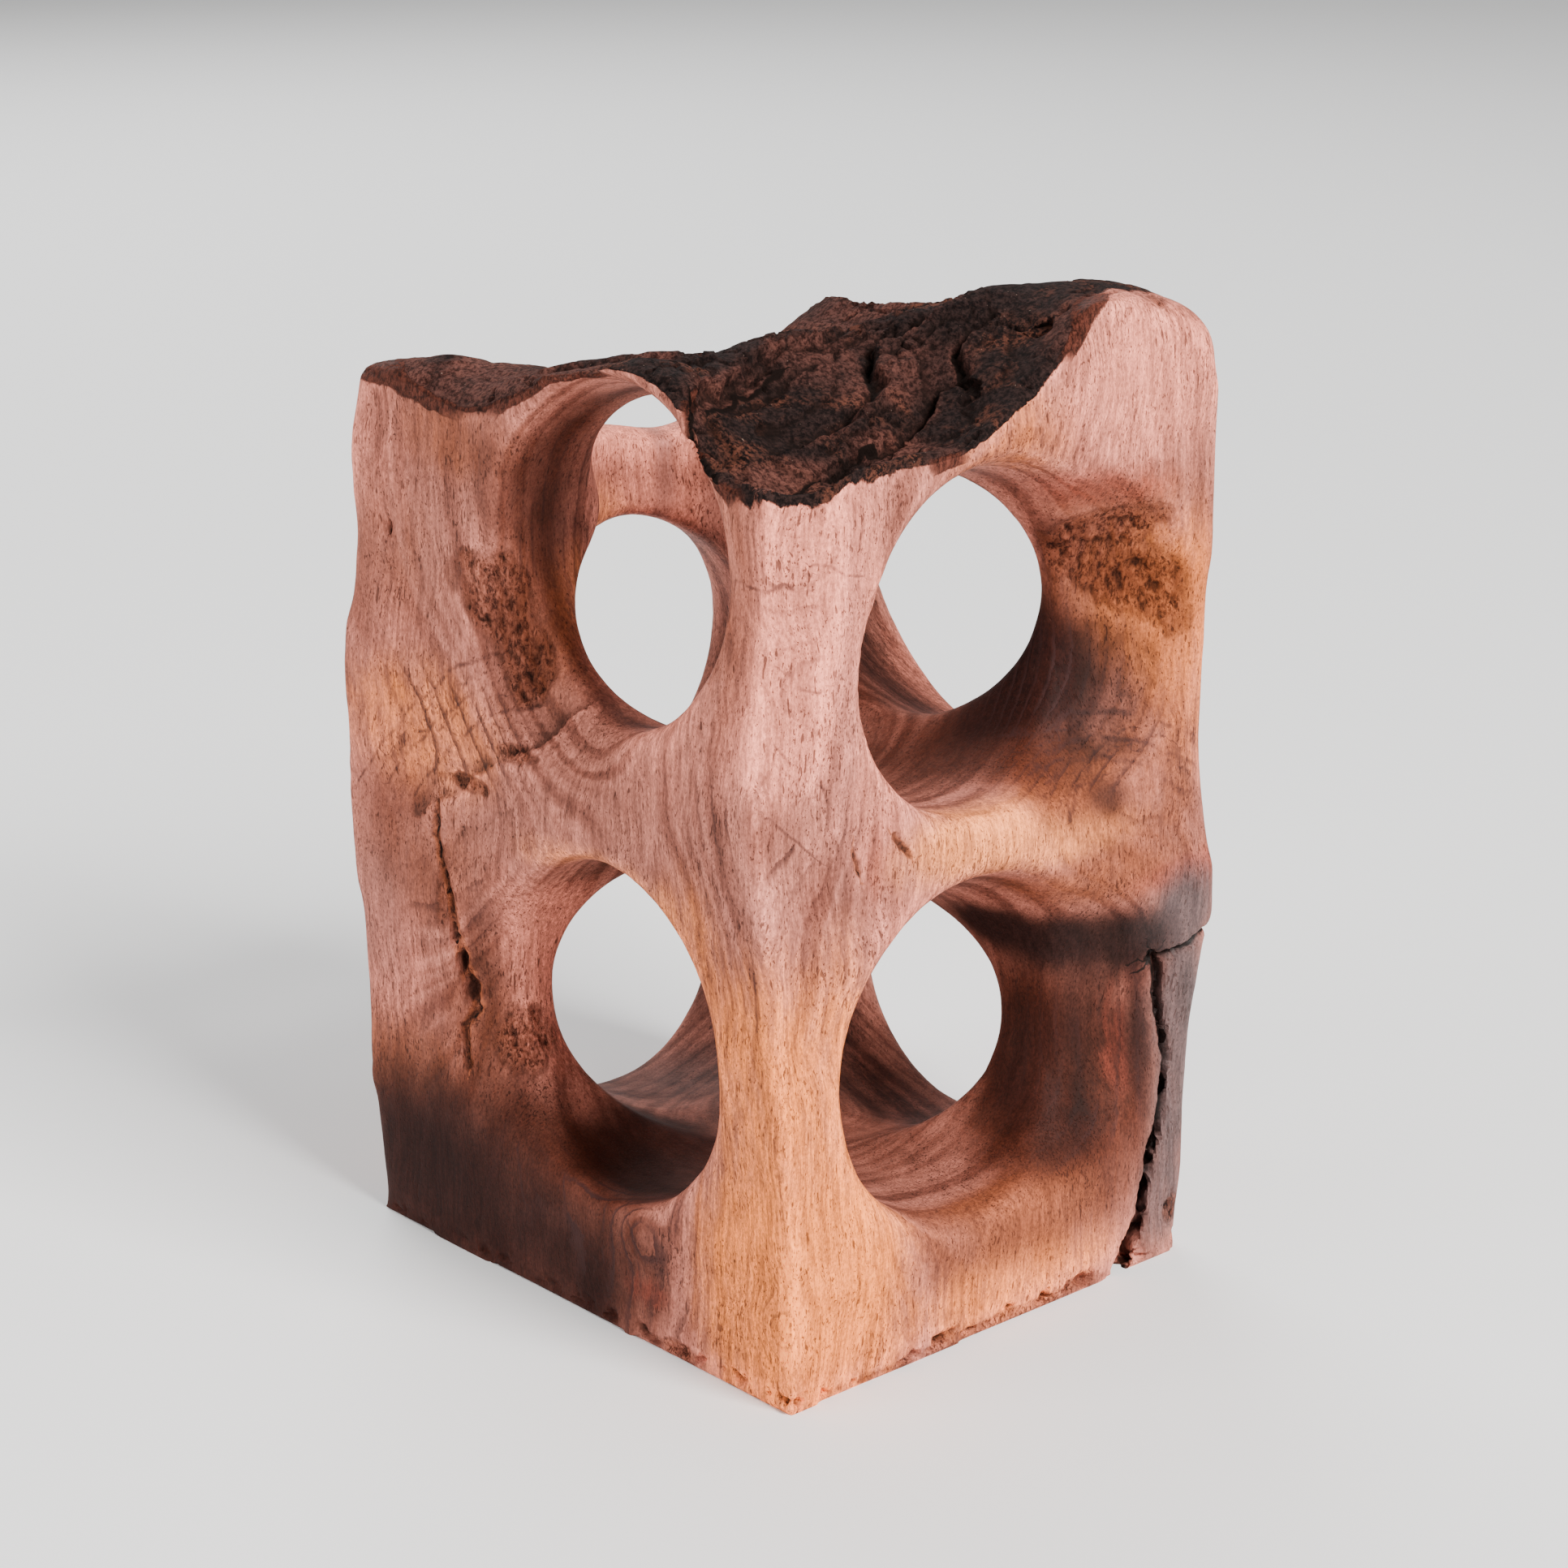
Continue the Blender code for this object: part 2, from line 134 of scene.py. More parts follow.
TAN_SPOTS = [
    (43, -4, 67, 6, 13, 4.5, 1), (43, 12, 63.5, 6, 10, 3, 0.8),
    (-33, -3, 88, 7, 7, 8, 0.65), (-12, -24, 88, 3, 4, 8, 0.4),
    (-30, 8, 52, 8, 8, 7, 0.6), (8, -37, 60, 14, 5, 3, 0.5),
    (10, 36, 54, 12, 8, 6, 0.5),
]
CHESTNUT_SPOTS = [
    (43, -1, 114, 7, 9, 7, 0.15), (42, -4, 15, 6, 11, 6, 0.8),
    (42, 10, 14, 6, 12, 6, 0.95), (39, 14, 70, 8, 9, 5, 0.95),
    (41, 28, 74, 5, 8, 6, 0.7), (42, 25, 64, 5, 10, 4, 0.6),
    (40, 26, 88, 6, 8, 8, 0.6), (40, 22, 104, 6, 12, 4, 0.6),
    (40, 20, 57, 7, 14, 4, 0.85), (-34, -37, 94, 9, 6, 9, 0.25),
    (33, -37, 100, 5, 4, 14, 0.3), (-28, -37, 55, 10, 6, 8, 0.35),
    (-20, -36, 112, 10, 6, 5, 0.6), (-8, -30, 92, 6, 6, 12, 0.7),
    (-18, -36, 34, 5, 4, 10, 0.6), (-34, -38, 24, 12, 6, 6, 0.7),
    (28, 38, 100, 12, 8, 14, 0.6), (-46, 0, 104, 7, 12, 8, 0.6),
]
# Brown: partly dark wood, partly painted shade. The spots in the upper left mouth and under its arch, in the
# lower right bowl, in the upper right mouth and inside the block are painted shade; the low ones on the front
# make it darker towards the bottom.
BROWN_STAIN_AND_SHADE_SPOTS = [
    (-9, -29, 106, 7, 6, 12, 0.75), (-2, -27, 115, 7, 5, 6, 0.6),
    (-12.5, -37, 108, 3.5, 4, 9, 0.55), (32, 13, 32, 10, 11, 14, 1),
    (37, 12, 23, 9, 11, 6, 1), (39, 22, 25, 6, 8, 15, 0.95),
    (27, 18, 82, 9, 10, 12, 1), (22, 8, 72, 10, 8, 6, 0.95),
    (35, 11, 73, 6, 6, 4, 0.8), (36, 22, 96, 5, 8, 5, 0.6),
    (33.5, 16.5, 99, 3, 3, 4, 0.75), (35, 23, 93, 3, 4, 3, 0.5),
    (0, -30, 17, 20, 7, 5, 0.9), (-16, -36, 18, 20, 7, 9, 0.85),
    (10, -38, 8, 9, 6, 9, 0.8), (-20, -36, 35, 4, 4, 9, 0.5),
    (-39, -38, 88, 4, 5, 9, 0.35), (-34, -38, 57, 9, 6, 8, 0.45),
    (-12, -33, 84, 5, 4, 8, 0.5), (0, 0, 60, 22, 22, 20, 0.6),
    (0, 0, 20, 24, 24, 10, 0.7), (30, 38, 96, 12, 8, 16, 0.6),
    (-42, 14, 66, 8, 12, 9, 0.6),
]
# Dark: partly dark stain, partly painted shade. The spots in the lower right bowl, in the upper right mouth
# and low inside the block are painted shade; the one low on the left of the front is a painted cast shadow
# over dark stain; the other low ones make the faces darker towards the bottom.
DARK_STAIN_AND_SHADE_SPOTS = [
    (-30, -38, 7, 22, 7, 14.5, 1), (-2, -38, 4, 16, 7, 9.5, 0.95),
    (30, 17, 81, 8, 8, 9, 1), (24, 14, 76, 6, 7, 6, 0.9),
    (-4, -20, 17, 17, 12, 5, 0.95), (33, 13, 30, 6, 7, 9, 0.75),
    (38, 15, 22, 5, 6, 4, 0.5), (-34, 0, 8, 14, 14, 6, 0.55),
    (-14, 36, 8, 16, 8, 8, 0.7), (-40, 24, 20, 8, 10, 10, 0.5),
]
GREY_SPOTS = [
    (43, 32, 49, 6, 6, 6, 1), (42.5, 33, 37, 6, 4.2, 10, 1),
    (42, 33, 23, 6, 4.2, 10, 0.95), (42, 31, 9, 6, 4.6, 8, 0.9),
    (-34, 9, 98, 6, 1.4, 8, 0.4), (-34, 15, 92, 6, 1.6, 9, 0.3),
    (42, -27, 88, 4, 2.2, 22, 0.25), (-38, -38, 44, 6, 5, 9, 0.3),
    (-34, 38, 70, 7, 6, 16, 0.5),
]
RED_SPOTS = [
    (43, 33, 54.5, 5, 8, 2.2, 0.8), (41.7, 27, 41, 3, 2.6, 4, 0.6),
    (38.5, 24.5, 33, 4, 1.8, 7, 0.45), (40, 36.5, 20, 4, 2, 12, 0.5),
    (40, 15, 107, 5, 12, 3, 0.6), (42, -22, 68, 3, 1.4, 4, 0.5),
    (16, -37.5, 7, 4, 3, 1.6, 0.7), (-26, 39, 30, 6, 5, 12, 0.5),
]
CHARCOAL_SPOTS = [
    (28, 12, 48, 7, 7, 4, 1), (35, 16.5, 46.5, 7, 7, 4.6, 1),
    (40, 25, 45.5, 5, 6, 5.4, 1), (36.5, 20.5, 38, 4, 2.2, 9, 0.6),
    (40.5, 27.5, 32, 4, 1.8, 14, 0.75), (42, 18.7, 67, 4, 3.2, 2.2, 0.75),
    (41, 22, 72.5, 4, 5, 1.2, 0.45), (-20, -37, 39, 3, 4, 4, 0.5),
    (-18.5, -35.6, 48, 2.4, 3, 3.2, 0.5), (-40, 10, 44, 6, 8, 3, 0.6),
]

# Reddish parts of the weathered top, as places like those above.
RUST_SPOTS = [
    (-30, -33, 119, 16, 9, 5, 1), (-4, -35, 121, 12, 7, 5, 0.8),
    (-26, 35, 118, 16, 9, 6, 0.6), (-8, 34, 121, 12, 8, 6, 0.6),
    (23, -3, 122, 6, 7, 4, 0.7), (16, -10, 125, 4, 10, 4, 0.6),
    (41, 12, 129, 5, 9, 4, 0.7), (34, -11, 115, 9, 4, 1.8, 0.9),
    (31, -28, 113.5, 5, 9, 1.6, 0.9),
]

# Where the growth rings show as dark lines: places as above, and how far they show elsewhere.
PLAIN_FIGURE = 0.16
FIGURE_SPOTS = [
    (-22, -37, 73, 14, 6, 7, 0.9), (-36, -38, 68, 8, 6, 10, 0.15),
    (41, -31, 104, 6, 6, 3, 0.9), (41, -32, 92, 6, 7, 4, 0.35),
    (40, -31, 73, 8, 8, 6, 0.9), (34, -37, 76, 12, 6, 4, 0.6),
    (40, 20, 70, 8, 14, 7, 0.7), (30, 20, 78, 8, 8, 8, 0.7),
    (8, -37, 12, 12, 6, 12, 0.95), (22, -37, 16, 7, 6, 14, 0.8),
    (38, -38, 12, 6, 6, 8, 0.5), (-24, -36, 50, 7, 6, 8, 0.5),
    (40, 22, 30, 6, 9, 14, 0.5), (-10, -28, 104, 10, 8, 12, 0.5),
    (16, 38, 66, 14, 8, 10, 0.9), (-42, -10, 60, 8, 14, 12, 0.9),
]

# Torn, fibrous places: x, y, z, reach along x, reach along y, reach along z, strength.
TORN_SPOTS = [
    (-14, -34.4, 91, 4.2, 4.5, 6.5, 0.95), (-10.8, -32.4, 82.5, 3, 4, 5, 0.95),
    (-18, -35.8, 94, 4.6, 4, 4, 0.7), (34.8, 20.5, 98, 6, 6.5, 5, 0.95),
    (37, 28, 93, 6, 5.5, 4.6, 0.95), (39, 25, 101.5, 5, 5, 2.6, 0.65),
    (40.5, 31.5, 87.5, 4, 3, 3, 0.65), (-15, -31.6, 31, 4, 4.4, 5, 0.85),
    (-20, -36, 66, 5, 3, 1.3, 0.75), (-10, -34.6, 72.2, 4.5, 3, 1.3, 0.75),
    (-24.6, -36.6, 49, 1.8, 3, 7, 0.65), (39, 27, 129.5, 3, 4, 2, 0.6),
    (29.5, -27, 114.6, 4.5, 8.5, 1.6, 0.9), (41.5, 33.4, 6.2, 2.2, 1.8, 2, 1),
    (41.6, -2, 0.8, 3, 26, 1, 0.7), (22, -37, 1.2, 3.4, 2, 1.4, 0.8),
    (-24, 36.5, 92, 5, 4, 8, 0.9), (-39.5, 22, 44, 4, 6, 5, 0.9),
]

# Edges that the maker left crisp on the near corner, as paths; then how far round them no smoothing
# comes, how high their ridge stands, how soon it falls off, and how near the first of them a painted
# highlight lies.
KEPT_EDGES = [
    [(38.6, -36.3, 116), (38.4, -36.8, 100), (38, -38, 86), (39.2, -39, 76), (40.2, -38.8, 66),
     (41.2, -37.9, 50), (42.3, -37, 36), (43, -36.4, 20), (43.1, -36, 0)],
    [(42.8, -29.3, 112), (42.9, -28.6, 102), (42.5, -29.4, 95), (42, -29.5, 86), (41.2, -32, 79)],
    [(41.8, -27.1, 82.5), (41.3, -27.9, 73.5)],
]
KEPT_REACH = 2.6
EDGE_LIFT = 0.45
EDGE_SLOPE = 1.2
EDGE_HIGHLIGHT = (0.5, 1.5)

# Grooves: the axis that their face looks along, half widths at both ends, depth, path.
FRONT = 1
SIDE = 0
TOP = 2
DRYING_CRACKS = [
    (SIDE, 0.30, 0.42, 1.5, [(41.6, 39, 45.7), (42.2, 35, 44.6), (42.6, 31.1, 43.6),
     (41.8, 28.2, 42.6)]),
    (SIDE, 0.35, 0.60, 2, [(41.8, 28.4, 43.4), (41.8, 29.4, 40.7), (41.8, 30.3, 34.8), (41.7, 31.3, 28.8),
     (41.5, 30.6, 23.3), (41.4, 29.9, 17.6), (41.3, 27.9, 12.4)]),
    (SIDE, 0.60, 1.25, 2.6, [(41.3, 27.9, 12.4), (41.2, 27, 6.8), (41, 25.2, 3), (40.8, 23.6, -1)]),
]
FISSURES = [
    (FRONT, 0.30, 0.55, 0.6, [(-25.8, -36.4, 61.9), (-26.2, -36.7, 58), (-25.4, -36.7, 54.3),
     (-23.4, -36.6, 49.3), (-22.9, -36.5, 44.9), (-22.2, -35.5, 40.2)]),
    (FRONT, 0.55, 0.25, 0.7, [(-22.2, -35.5, 40.2), (-21.3, -34.4, 37), (-20.7, -34.6, 34),
     (-21.9, -36, 31.5), (-20.8, -36.5, 27.2)]),
    (SIDE, 0.22, 0.30, 0.5, [(41.7, -25.3, 70), (41.8, -25, 68.6), (41.9, -24.6, 67.2)]),
    (SIDE, 0.25, 0.30, 0.6, [(41.6, -18.6, 70.6), (41.9, -17.4, 69), (42.1, -16.2, 67.6)]),
]
# The flake edge that is both a crack and a ledge
SCOOP_EDGE = [
    (27.7, 6.3, 126.2), (27.4, 4.4, 124.6), (31.6, 2.5, 121.9), (28.8, 0.3, 119.7), (29.7, -2, 117.6),
    (31.2, -7.2, 115.8),
]
CRUST_CRACKS = [
    (TOP, 0.4, 0.4, 0.5, [(15.4, -13.2, 125), (15.6, -16.4, 123.8), (16.6, -21.4, 122.4),
     (21.2, -30.3, 123)]),
    (TOP, 0.35, 0.35, 0.7, [(18.4, -0.6, 123.6), (20.4, -3.9, 121.7), (23.2, -5, 120.5),
     (24.9, -8.6, 118.9), (25.2, -14.2, 117)]),
    (TOP, 0.5, 0.6, 1.3, SCOOP_EDGE),
    (TOP, 0.4, 0.4, 0.8, [(22.2, -33.7, 123.8), (25.5, -36.3, 120.9), (30.1, -37.2, 117)]),
    (TOP, 0.25, 0.25, 0.5, [(31.4, -7.7, 115.8), (30.2, -13.5, 115.2), (30.9, -22.4, 113.4),
     (34, -31, 113.6)]),
    (TOP, 0.25, 0.25, 0.5, [(34.5, -8.5, 116.2), (33, -16, 114.8), (33.6, -25, 113.4)]),
]

# Dark lines of late wood that show in the photo: face, half widths at both ends, path.
GRAIN_LINES = [
    (SIDE, 0.14, 0.14, [(37.9, -36.7, 103.3), (39.9, -35, 104.5), (41.2, -32.6, 103.1),
     (41.8, -31.4, 103.9)]),
    (SIDE, 0.16, 0.14, [(41.8, -31.4, 106.3), (43.1, -28.1, 104.9), (43.2, -25.7, 104.2)]),
    (SIDE, 0.18, 0.14, [(40.1, -34.7, 93.1), (40.7, -33.5, 91.5), (41.8, -31.3, 90.8),
     (42, -30.7, 91.2)]),
    (SIDE, 0.14, 0.14, [(39.6, -35.7, 84.6), (41, -32.4, 80.7), (41.2, -29.9, 78.8)]),
    (SIDE, 0.16, 0.14, [(39.9, -38, 76.8), (40.4, -34.7, 73.9), (41, -30.5, 70.2)]),
    (FRONT, 0.14, 0.22, [(-40, -38.5, 62), (-35.1, -38.2, 68.7), (-29.2, -37.5, 74.6),
     (-20.3, -36.6, 81.9), (-14.8, -34.3, 84.1)]),
    (FRONT, 0.16, 0.24, [(-34.4, -37.8, 63.2), (-28.8, -37.1, 69.9), (-21.8, -36.6, 76.1),
     (-14.2, -34.9, 80.6), (-10.7, -32.2, 81.6)]),
    (FRONT, 0.14, 0.24, [(-30.5, -37.1, 61.7), (-23.7, -36.3, 69.4), (-14.9, -36.3, 76.1),
     (-9.4, -33.1, 78.2)]),
    (FRONT, 0.16, 0.14, [(7, -36.3, 16.7), (7.4, -36.6, 10.5), (8.4, -36.8, 4.5)]),
    (FRONT, 0.14, 0.18, [(11, -34, 17.1), (13.7, -36.7, 13.5), (14.7, -36.6, 7.4), (15.3, -36.7, 3.7)]),
    (FRONT, 0.16, 0.14, [(21.2, -36.6, 20.8), (19.8, -36.6, 14.8), (20.3, -36.5, 7)]),
    (FRONT, 0.18, 0.14, [(-10.5, -36.6, 17.7), (-9.5, -36.6, 12.3), (-6, -36.7, 6)]),
    (FRONT, 0.16, 0.14, [(-0.9, -36.6, 16.7), (1.3, -36.6, 10.9), (3.6, -36.7, 6)]),
    (FRONT, 0.14, 0.20, [(38.4, -38.4, 60), (38.8, -38.2, 54.8), (38.7, -37.9, 48.7),
     (40, -37.9, 46.2)]),
    (FRONT, 0.16, 0.16, [(41, -37.4, 36), (41.5, -37.1, 32.3), (42.1, -36.8, 27)]),
    (SIDE, 0.20, 0.26, [(33.1, 11.2, 74.1), (34.2, 18.3, 76.7), (38.4, 26.7, 75.9), (41.8, 34.1, 72.2)]),
    (SIDE, 0.26, 0.26, [(37.5, 8.9, 71), (35.7, 14.9, 73.2), (36.7, 21.1, 73.6), (40.7, 26.6, 72.7),
     (41.9, 34.1, 68.2)]),
    (SIDE, 0.24, 0.30, [(40, 8.6, 68.6), (37, 14.6, 71.2), (38.2, 20.7, 71.7), (42, 25.2, 70.1),
     (42.2, 34, 63.6)]),
    (SIDE, 0.26, 0.20, [(41.9, 11.7, 66.2), (39.6, 15.2, 68.7), (39.8, 19.2, 69.4)]),
]

# Broken flakes: face, step from one side of the path to the other, path; then the reach of their
# rust and how much it counts, the reach of the step, and the half width of its edge.
LEDGES = [
    (TOP, -1.9, [(12.6, -4, 126.4), (14, -13.2, 125), (14.3, -16.4, 123.8), (15.4, -21.4, 122.4),
     (20.4, -31.3, 123.8), (23, -34.6, 122.3), (25.5, -35.7, 118), (27.4, -35.1, 116.2)]),
    (TOP, 1.9, [(22, 9, 127.6), (20.3, 4.6, 126.3), (19.3, 2.3, 125.2), (19, -0.6, 123.6),
     (21, -3.2, 121.7), (23.8, -4.1, 120.5), (25.7, -8.3, 118.9), (26, -14.2, 117),
     (26.5, -20.2, 115.8)]),
    (TOP, 1.2, SCOOP_EDGE),
    (TOP, -0.9, [(8, -24, 123.6), (2, -27, 122.6), (-4, -30, 121.6)]),
]
BELT_LEDGE = (FRONT, 0.45, [
    (-3.7, -32.1, 77.1), (-7.6, -35, 73.6), (-15.9, -35.7, 68.1), (-22.7, -36, 64.3),
    (-25.8, -36.4, 61.9),
])
LEDGE_RUST = 0.9
LEDGE_RUST_SHARE = 0.9
LEDGE_REACH = 6.0
LEDGE_EDGE = 0.35

# Holes and pockets: x, y, z, reach along x, reach along y, reach along z, depth. They are full within
# the first share of the reach and end at the second.
PITS = [
    (-22.4, -35.8, 40.6, 0.8, 3, 2, 1.6), (-21.4, -34.8, 37.2, 1.2, 3, 2.6, 1.3),
    (-23.4, -36.4, 44.6, 0.6, 3, 2.2, 0.8), (35.3, 11.1, 127.2, 1.3, 1.5, 2.4, 2.2),
    (36.6, 13.4, 128.6, 1, 1.2, 1.4, 1.2), (42.3, 3.3, 122.2, 3, 0.55, 0.55, 1),
    (38.3, 20.4, 131, 0.9, 1.4, 1.6, 0.9), (36.4, 25.3, 130.6, 0.8, 1.2, 1.6, 0.8),
    (41.5, 32.4, 7, 3, 0.8, 0.8, 0.8), (41.5, 33.8, 5.6, 3, 0.7, 0.9, 0.7),
    (41.5, 33.2, 8.6, 3, 0.5, 0.6, 0.5), (40.8, 24.4, 2.2, 3, 1.3, 3, 2),
]
PIT_FLOOR = (0.25, 1.0)

# The weathered top: how high it starts, how far it faces up, its ragged border, and bare places on it
CRUST_HEIGHT = (105.5, 110.0)
CRUST_SLOPE = (0.20, 0.46)
CRUST_RAGGED = 0.16
CRUST_RAGGED_SIZE = 3.5
BARE_TOP_SPOTS = [
    (40, 37, 128, 8, 6, 9, 1.0),
    (42, 26, 130, 5.5, 13, 6, 1.0),
    (38.5, -36, 117, 6, 5, 3, 0.5),
    (-38, -36, 117, 7, 4, 3, 0.6),
]

# Lines: what stands for far away, how deep below the face a line counts, and the least groove width
LINE_FAR = 40.0
LINE_DEEP = 5.0
GROOVE_LEAST = 0.42

# How far soft noise moves a drawn line, finely and broadly, and the sizes of the two noises
CRACK_WANDER = (0.30, 0.45)
GRAIN_WANDER = (0.06, 0.45)
LEDGE_WANDER = (0.30, 0.9)
PIT_WANDER = (0.35, 0.5)
WANDER_SIZES = (0.9, 3.1)

# Lines that the material draws
LINE_SETS = {
    "crack": (DRYING_CRACKS + CRUST_CRACKS, CRACK_WANDER),
    "fissure": (FISSURES, CRACK_WANDER),
    "grain": (GRAIN_LINES, GRAIN_WANDER),
}

# Relief: half heights and depths, the sizes of patterns, and where an effect starts and is full
HAND_WAVE = 0.10
HAND_WAVE_SIZE = 8.0
FINE_WAVE = 0.04
FINE_WAVE_SIZE = 1.5
FLUTE_HEIGHT = 0.30
FLUTE_SIZE = (2.4, 2.4, 26.0)
FLUTE_SPOTS = [(33, 14, 30, 9, 11, 15, 1.0), (40, 27, 28, 5, 7, 18, 0.6), (30, 16, 82, 7, 8, 7, 0.5)]
STROKE_HEIGHT = 0.07
STROKE_SPACING = 2.3
STROKE_SLANT = 0.72
STROKE_WANDER = 1.2
STROKE_WANDER_SIZE = 9.0
STROKE_SPOTS = [(43, 14, 118, 6, 16, 8, 1.0), (43, -20, 96, 6, 8, 14, 0.6), (-42, 20, 108, 6, 14, 10, 0.8)]
TORN_RAGGED = 0.35
TORN_RAGGED_SIZE = (1.8, 1.8, 3.6)
TORN_BORDER = (0.15, 0.95)
TORN_DEPTH = 0.15
TORN_LEAN = (0.0, 0.35, 0.0)
TORN_FIBRE = 0.30
TORN_FIBRE_SIZE = (0.8, 0.8, 2.2)
TORN_PIT = 0.30
TORN_PIT_SIZE = (0.8, 0.8, 1.7)
TORN_PIT_EDGE = (0.0, 0.5)
FLAKE_STEP = 0.25
FLAKE_SIZE = 9.0
FLAKE_LEVELS = 3.0
FLAKE_FACE = (0.72, 1.0)
CRUST_GRAIN = 0.12
CRUST_GRAIN_SIZE = 1.1
CRUST_CELL = 8.0
CHECK_DEPTH = 0.7
CHECK_WIDTH = (0.02, 0.12)
CHECK_WANDER = 0.35
CHECK_WANDER_SIZE = 2.2
CHECKED_SIZE = 9.0
CHECKED_PART = (-0.1, 0.4)
CHIP_HEIGHT = 3.0
CHIP_DEPTH = 1.5
CHIP_SIZE = 2.2
CHIP_BITE = (0.0, 0.35)
CHIP_LEFT_SHARE = 0.35
CHIP_RIGHT = (0.0, 20.0)
FACING_DOWN = (0.5, 0.8)

# Masks at the vertices: smoothing steps, and the values where a mask starts and where it is full
CALM_STEPS = 10
RIM_OUTSIDE = (0.04, 0.30)
RIM_INSIDE = (0.50, 0.90)
# Painted shade: how far below its smoothed neighbours the surface lies where the shade in hollows starts and
# is full
HOLLOW_SHADE_DEPTH = (0.02, 0.28)
WORN_HEIGHT = (0.03, 0.22)

# Noise: large odd factors and a bit mask for the hash, and the shift from one layer to the next
HASH_FACTORS = (73856093, 19349663, 83492791)
HASH_SEED_FACTOR = 2654435761
HASH_MIX = 1274126177
HASH_BITS = 0xFFFF
LAYER_SHIFT = 11.3

# Colours, as linear red, green, blue and alpha
CRUST_BLACK = (0.0055, 0.0034, 0.0032, 1)
CRUST_BROWN = (0.031, 0.0165, 0.0145, 1)
CRUST_RUST = (0.150, 0.048, 0.028, 1)
CRUST_RED_DARK = (0.030, 0.0105, 0.0080, 1)
CRUST_RED = (0.160, 0.060, 0.046, 1)
CRUST_SPECK = (0.30, 0.20, 0.16, 1)
LIGHT_WOOD = (0.48, 0.166, 0.117, 1)
MID_WOOD = (0.190, 0.059, 0.040, 1)
RING_INK = (0.035, 0.014, 0.013, 1)
PORE_INK = (0.030, 0.009, 0.006, 1)
TORN_LIGHT = (0.34, 0.088, 0.040, 1)
TORN_DARK = (0.022, 0.0065, 0.0045, 1)
RIM_LIGHT = (0.17, 0.048, 0.031, 1)
RIM_DARK = (0.028, 0.009, 0.006, 1)
# Painted shade in cracks, fissure cores, hollows and pits
CRACK_AND_HOLLOW_SHADE = (0.008, 0.004, 0.003, 1)
FISSURE_RUST = (0.42, 0.110, 0.045, 1)

# Stains, some of them partly painted shade, one over the other: name, colour, strength, spots
STAINS = [
    ("pink", (0.73, 0.228, 0.155, 1), 0.90, PINK_SPOTS),
    ("orange", (0.97, 0.255, 0.048, 1), 0.90, ORANGE_SPOTS),
    ("tan", (0.76, 0.235, 0.075, 1), 0.90, TAN_SPOTS),
    ("chestnut", (0.230, 0.062, 0.026, 1), 0.95, CHESTNUT_SPOTS),
    # The brown and the dark below are partly painted shade
    ("brown_stain_and_shade", (0.060, 0.0145, 0.0075, 1), 0.98, BROWN_STAIN_AND_SHADE_SPOTS),
    ("red", (0.26, 0.050, 0.030, 1), 0.80, RED_SPOTS),
    ("grey", (0.066, 0.042, 0.041, 1), 0.95, GREY_SPOTS),
    ("dark_stain_and_shade", (0.018, 0.0044, 0.0030, 1), 0.98, DARK_STAIN_AND_SHADE_SPOTS),
    ("charcoal", (0.018, 0.0078, 0.0068, 1), 0.97, CHARCOAL_SPOTS),
]

# Shader noises: waves to a millimetre, detail, roughness and distortion
RING_WOBBLE = (0.55, 3.0, 0.6)
RING_BREAKS = (0.16, 3.0, 0.6)
LONG_PORES = (2.6, 1.0)
SHORT_PORES = (4.2, 1.0)
PORE_CROWD = (0.13, 3.0, 0.6)
FIBRES = (1.5, 4.0, 0.65)
BARK_GRAIN = (1.6, 6.0, 0.75)
BARK_PATCH = (0.11, 4.0, 0.62, 0.6)
BARK_SPECKS = (2.9, 1.0)
UNEVEN = (0.20, 4.0, 0.6)
CLOUDY = (0.045, 3.0, 0.55)
SPECKLE = (3.4, 3.0, 0.75)
TORN_GRAIN = (1.7, 7.0, 0.80, 0.4)
GRAIN_BREAKS = (0.35, 3.0, 0.7)
FISSURE_BREAKS = (0.30, 3.0, 0.6)
FINE_GRAIN = (1.6, 4.0, 0.65)

# Shader spans: the values where an effect starts and is full, then its strengths there, if not 0 and 1
LATE_WOOD = (0.66, 0.93)
RING_END = (1.0, 0.96)
FIBRE_SHADE = (0.28, 0.72, 0.60, 1.26)
SPECKLE_SHADE = (0.3, 0.7, 0.66, 1.28)
WEAR_AND_HIGHLIGHT_GAIN = (0.0, 1.0, 1.0, 1.35)

# Drawn lines: half widths from the middle where they are full and where they end, and their reach; then
# how ragged they are
GRAIN_LINE = (0.2, 2.4, 2.0)
FISSURE_LINE = (1.0, 2.2, 2.2)
FISSURE_CORE = (0.1, 0.7, 2.0)
CRACK_LINE = (0.6, 1.3, 3.0)
LINE_RAGGED = 2.4

# Lights: place and size in metres, power in watts, colour
LIGHTS = {
    "key_light": ((1.10, 0.02, 0.95), 0.6, 48.0, (1.0, 0.985, 0.965)),
    "fill_light": ((-0.30, -1.05, 0.35), 0.7, 9.0, (1.0, 1.0, 1.0)),
    "back_light": ((-1.0, 0.4, 0.8), 0.8, 12.0, (1.0, 1.0, 1.0)),
}


def ease(value, low, high):
    """0 below low, 1 above high, and 3t^2 - 2t^3 of the way t between them."""
    t = np.clip((value - low) / (high - low), 0.0, 1.0)
    return t * t * (3.0 - 2.0 * t)


def cell_hash(cell, seed):
    """A number from 0 to 1 for each whole cell: its indices times large odd factors, mixed by shifts."""
    mixed = np.bitwise_xor.reduce(cell * HASH_FACTORS, axis=1) ^ (seed * HASH_SEED_FACTOR)
    mixed = (mixed ^ (mixed >> 13)) * HASH_MIX
    return ((mixed ^ (mixed >> 16)) & HASH_BITS) / HASH_BITS


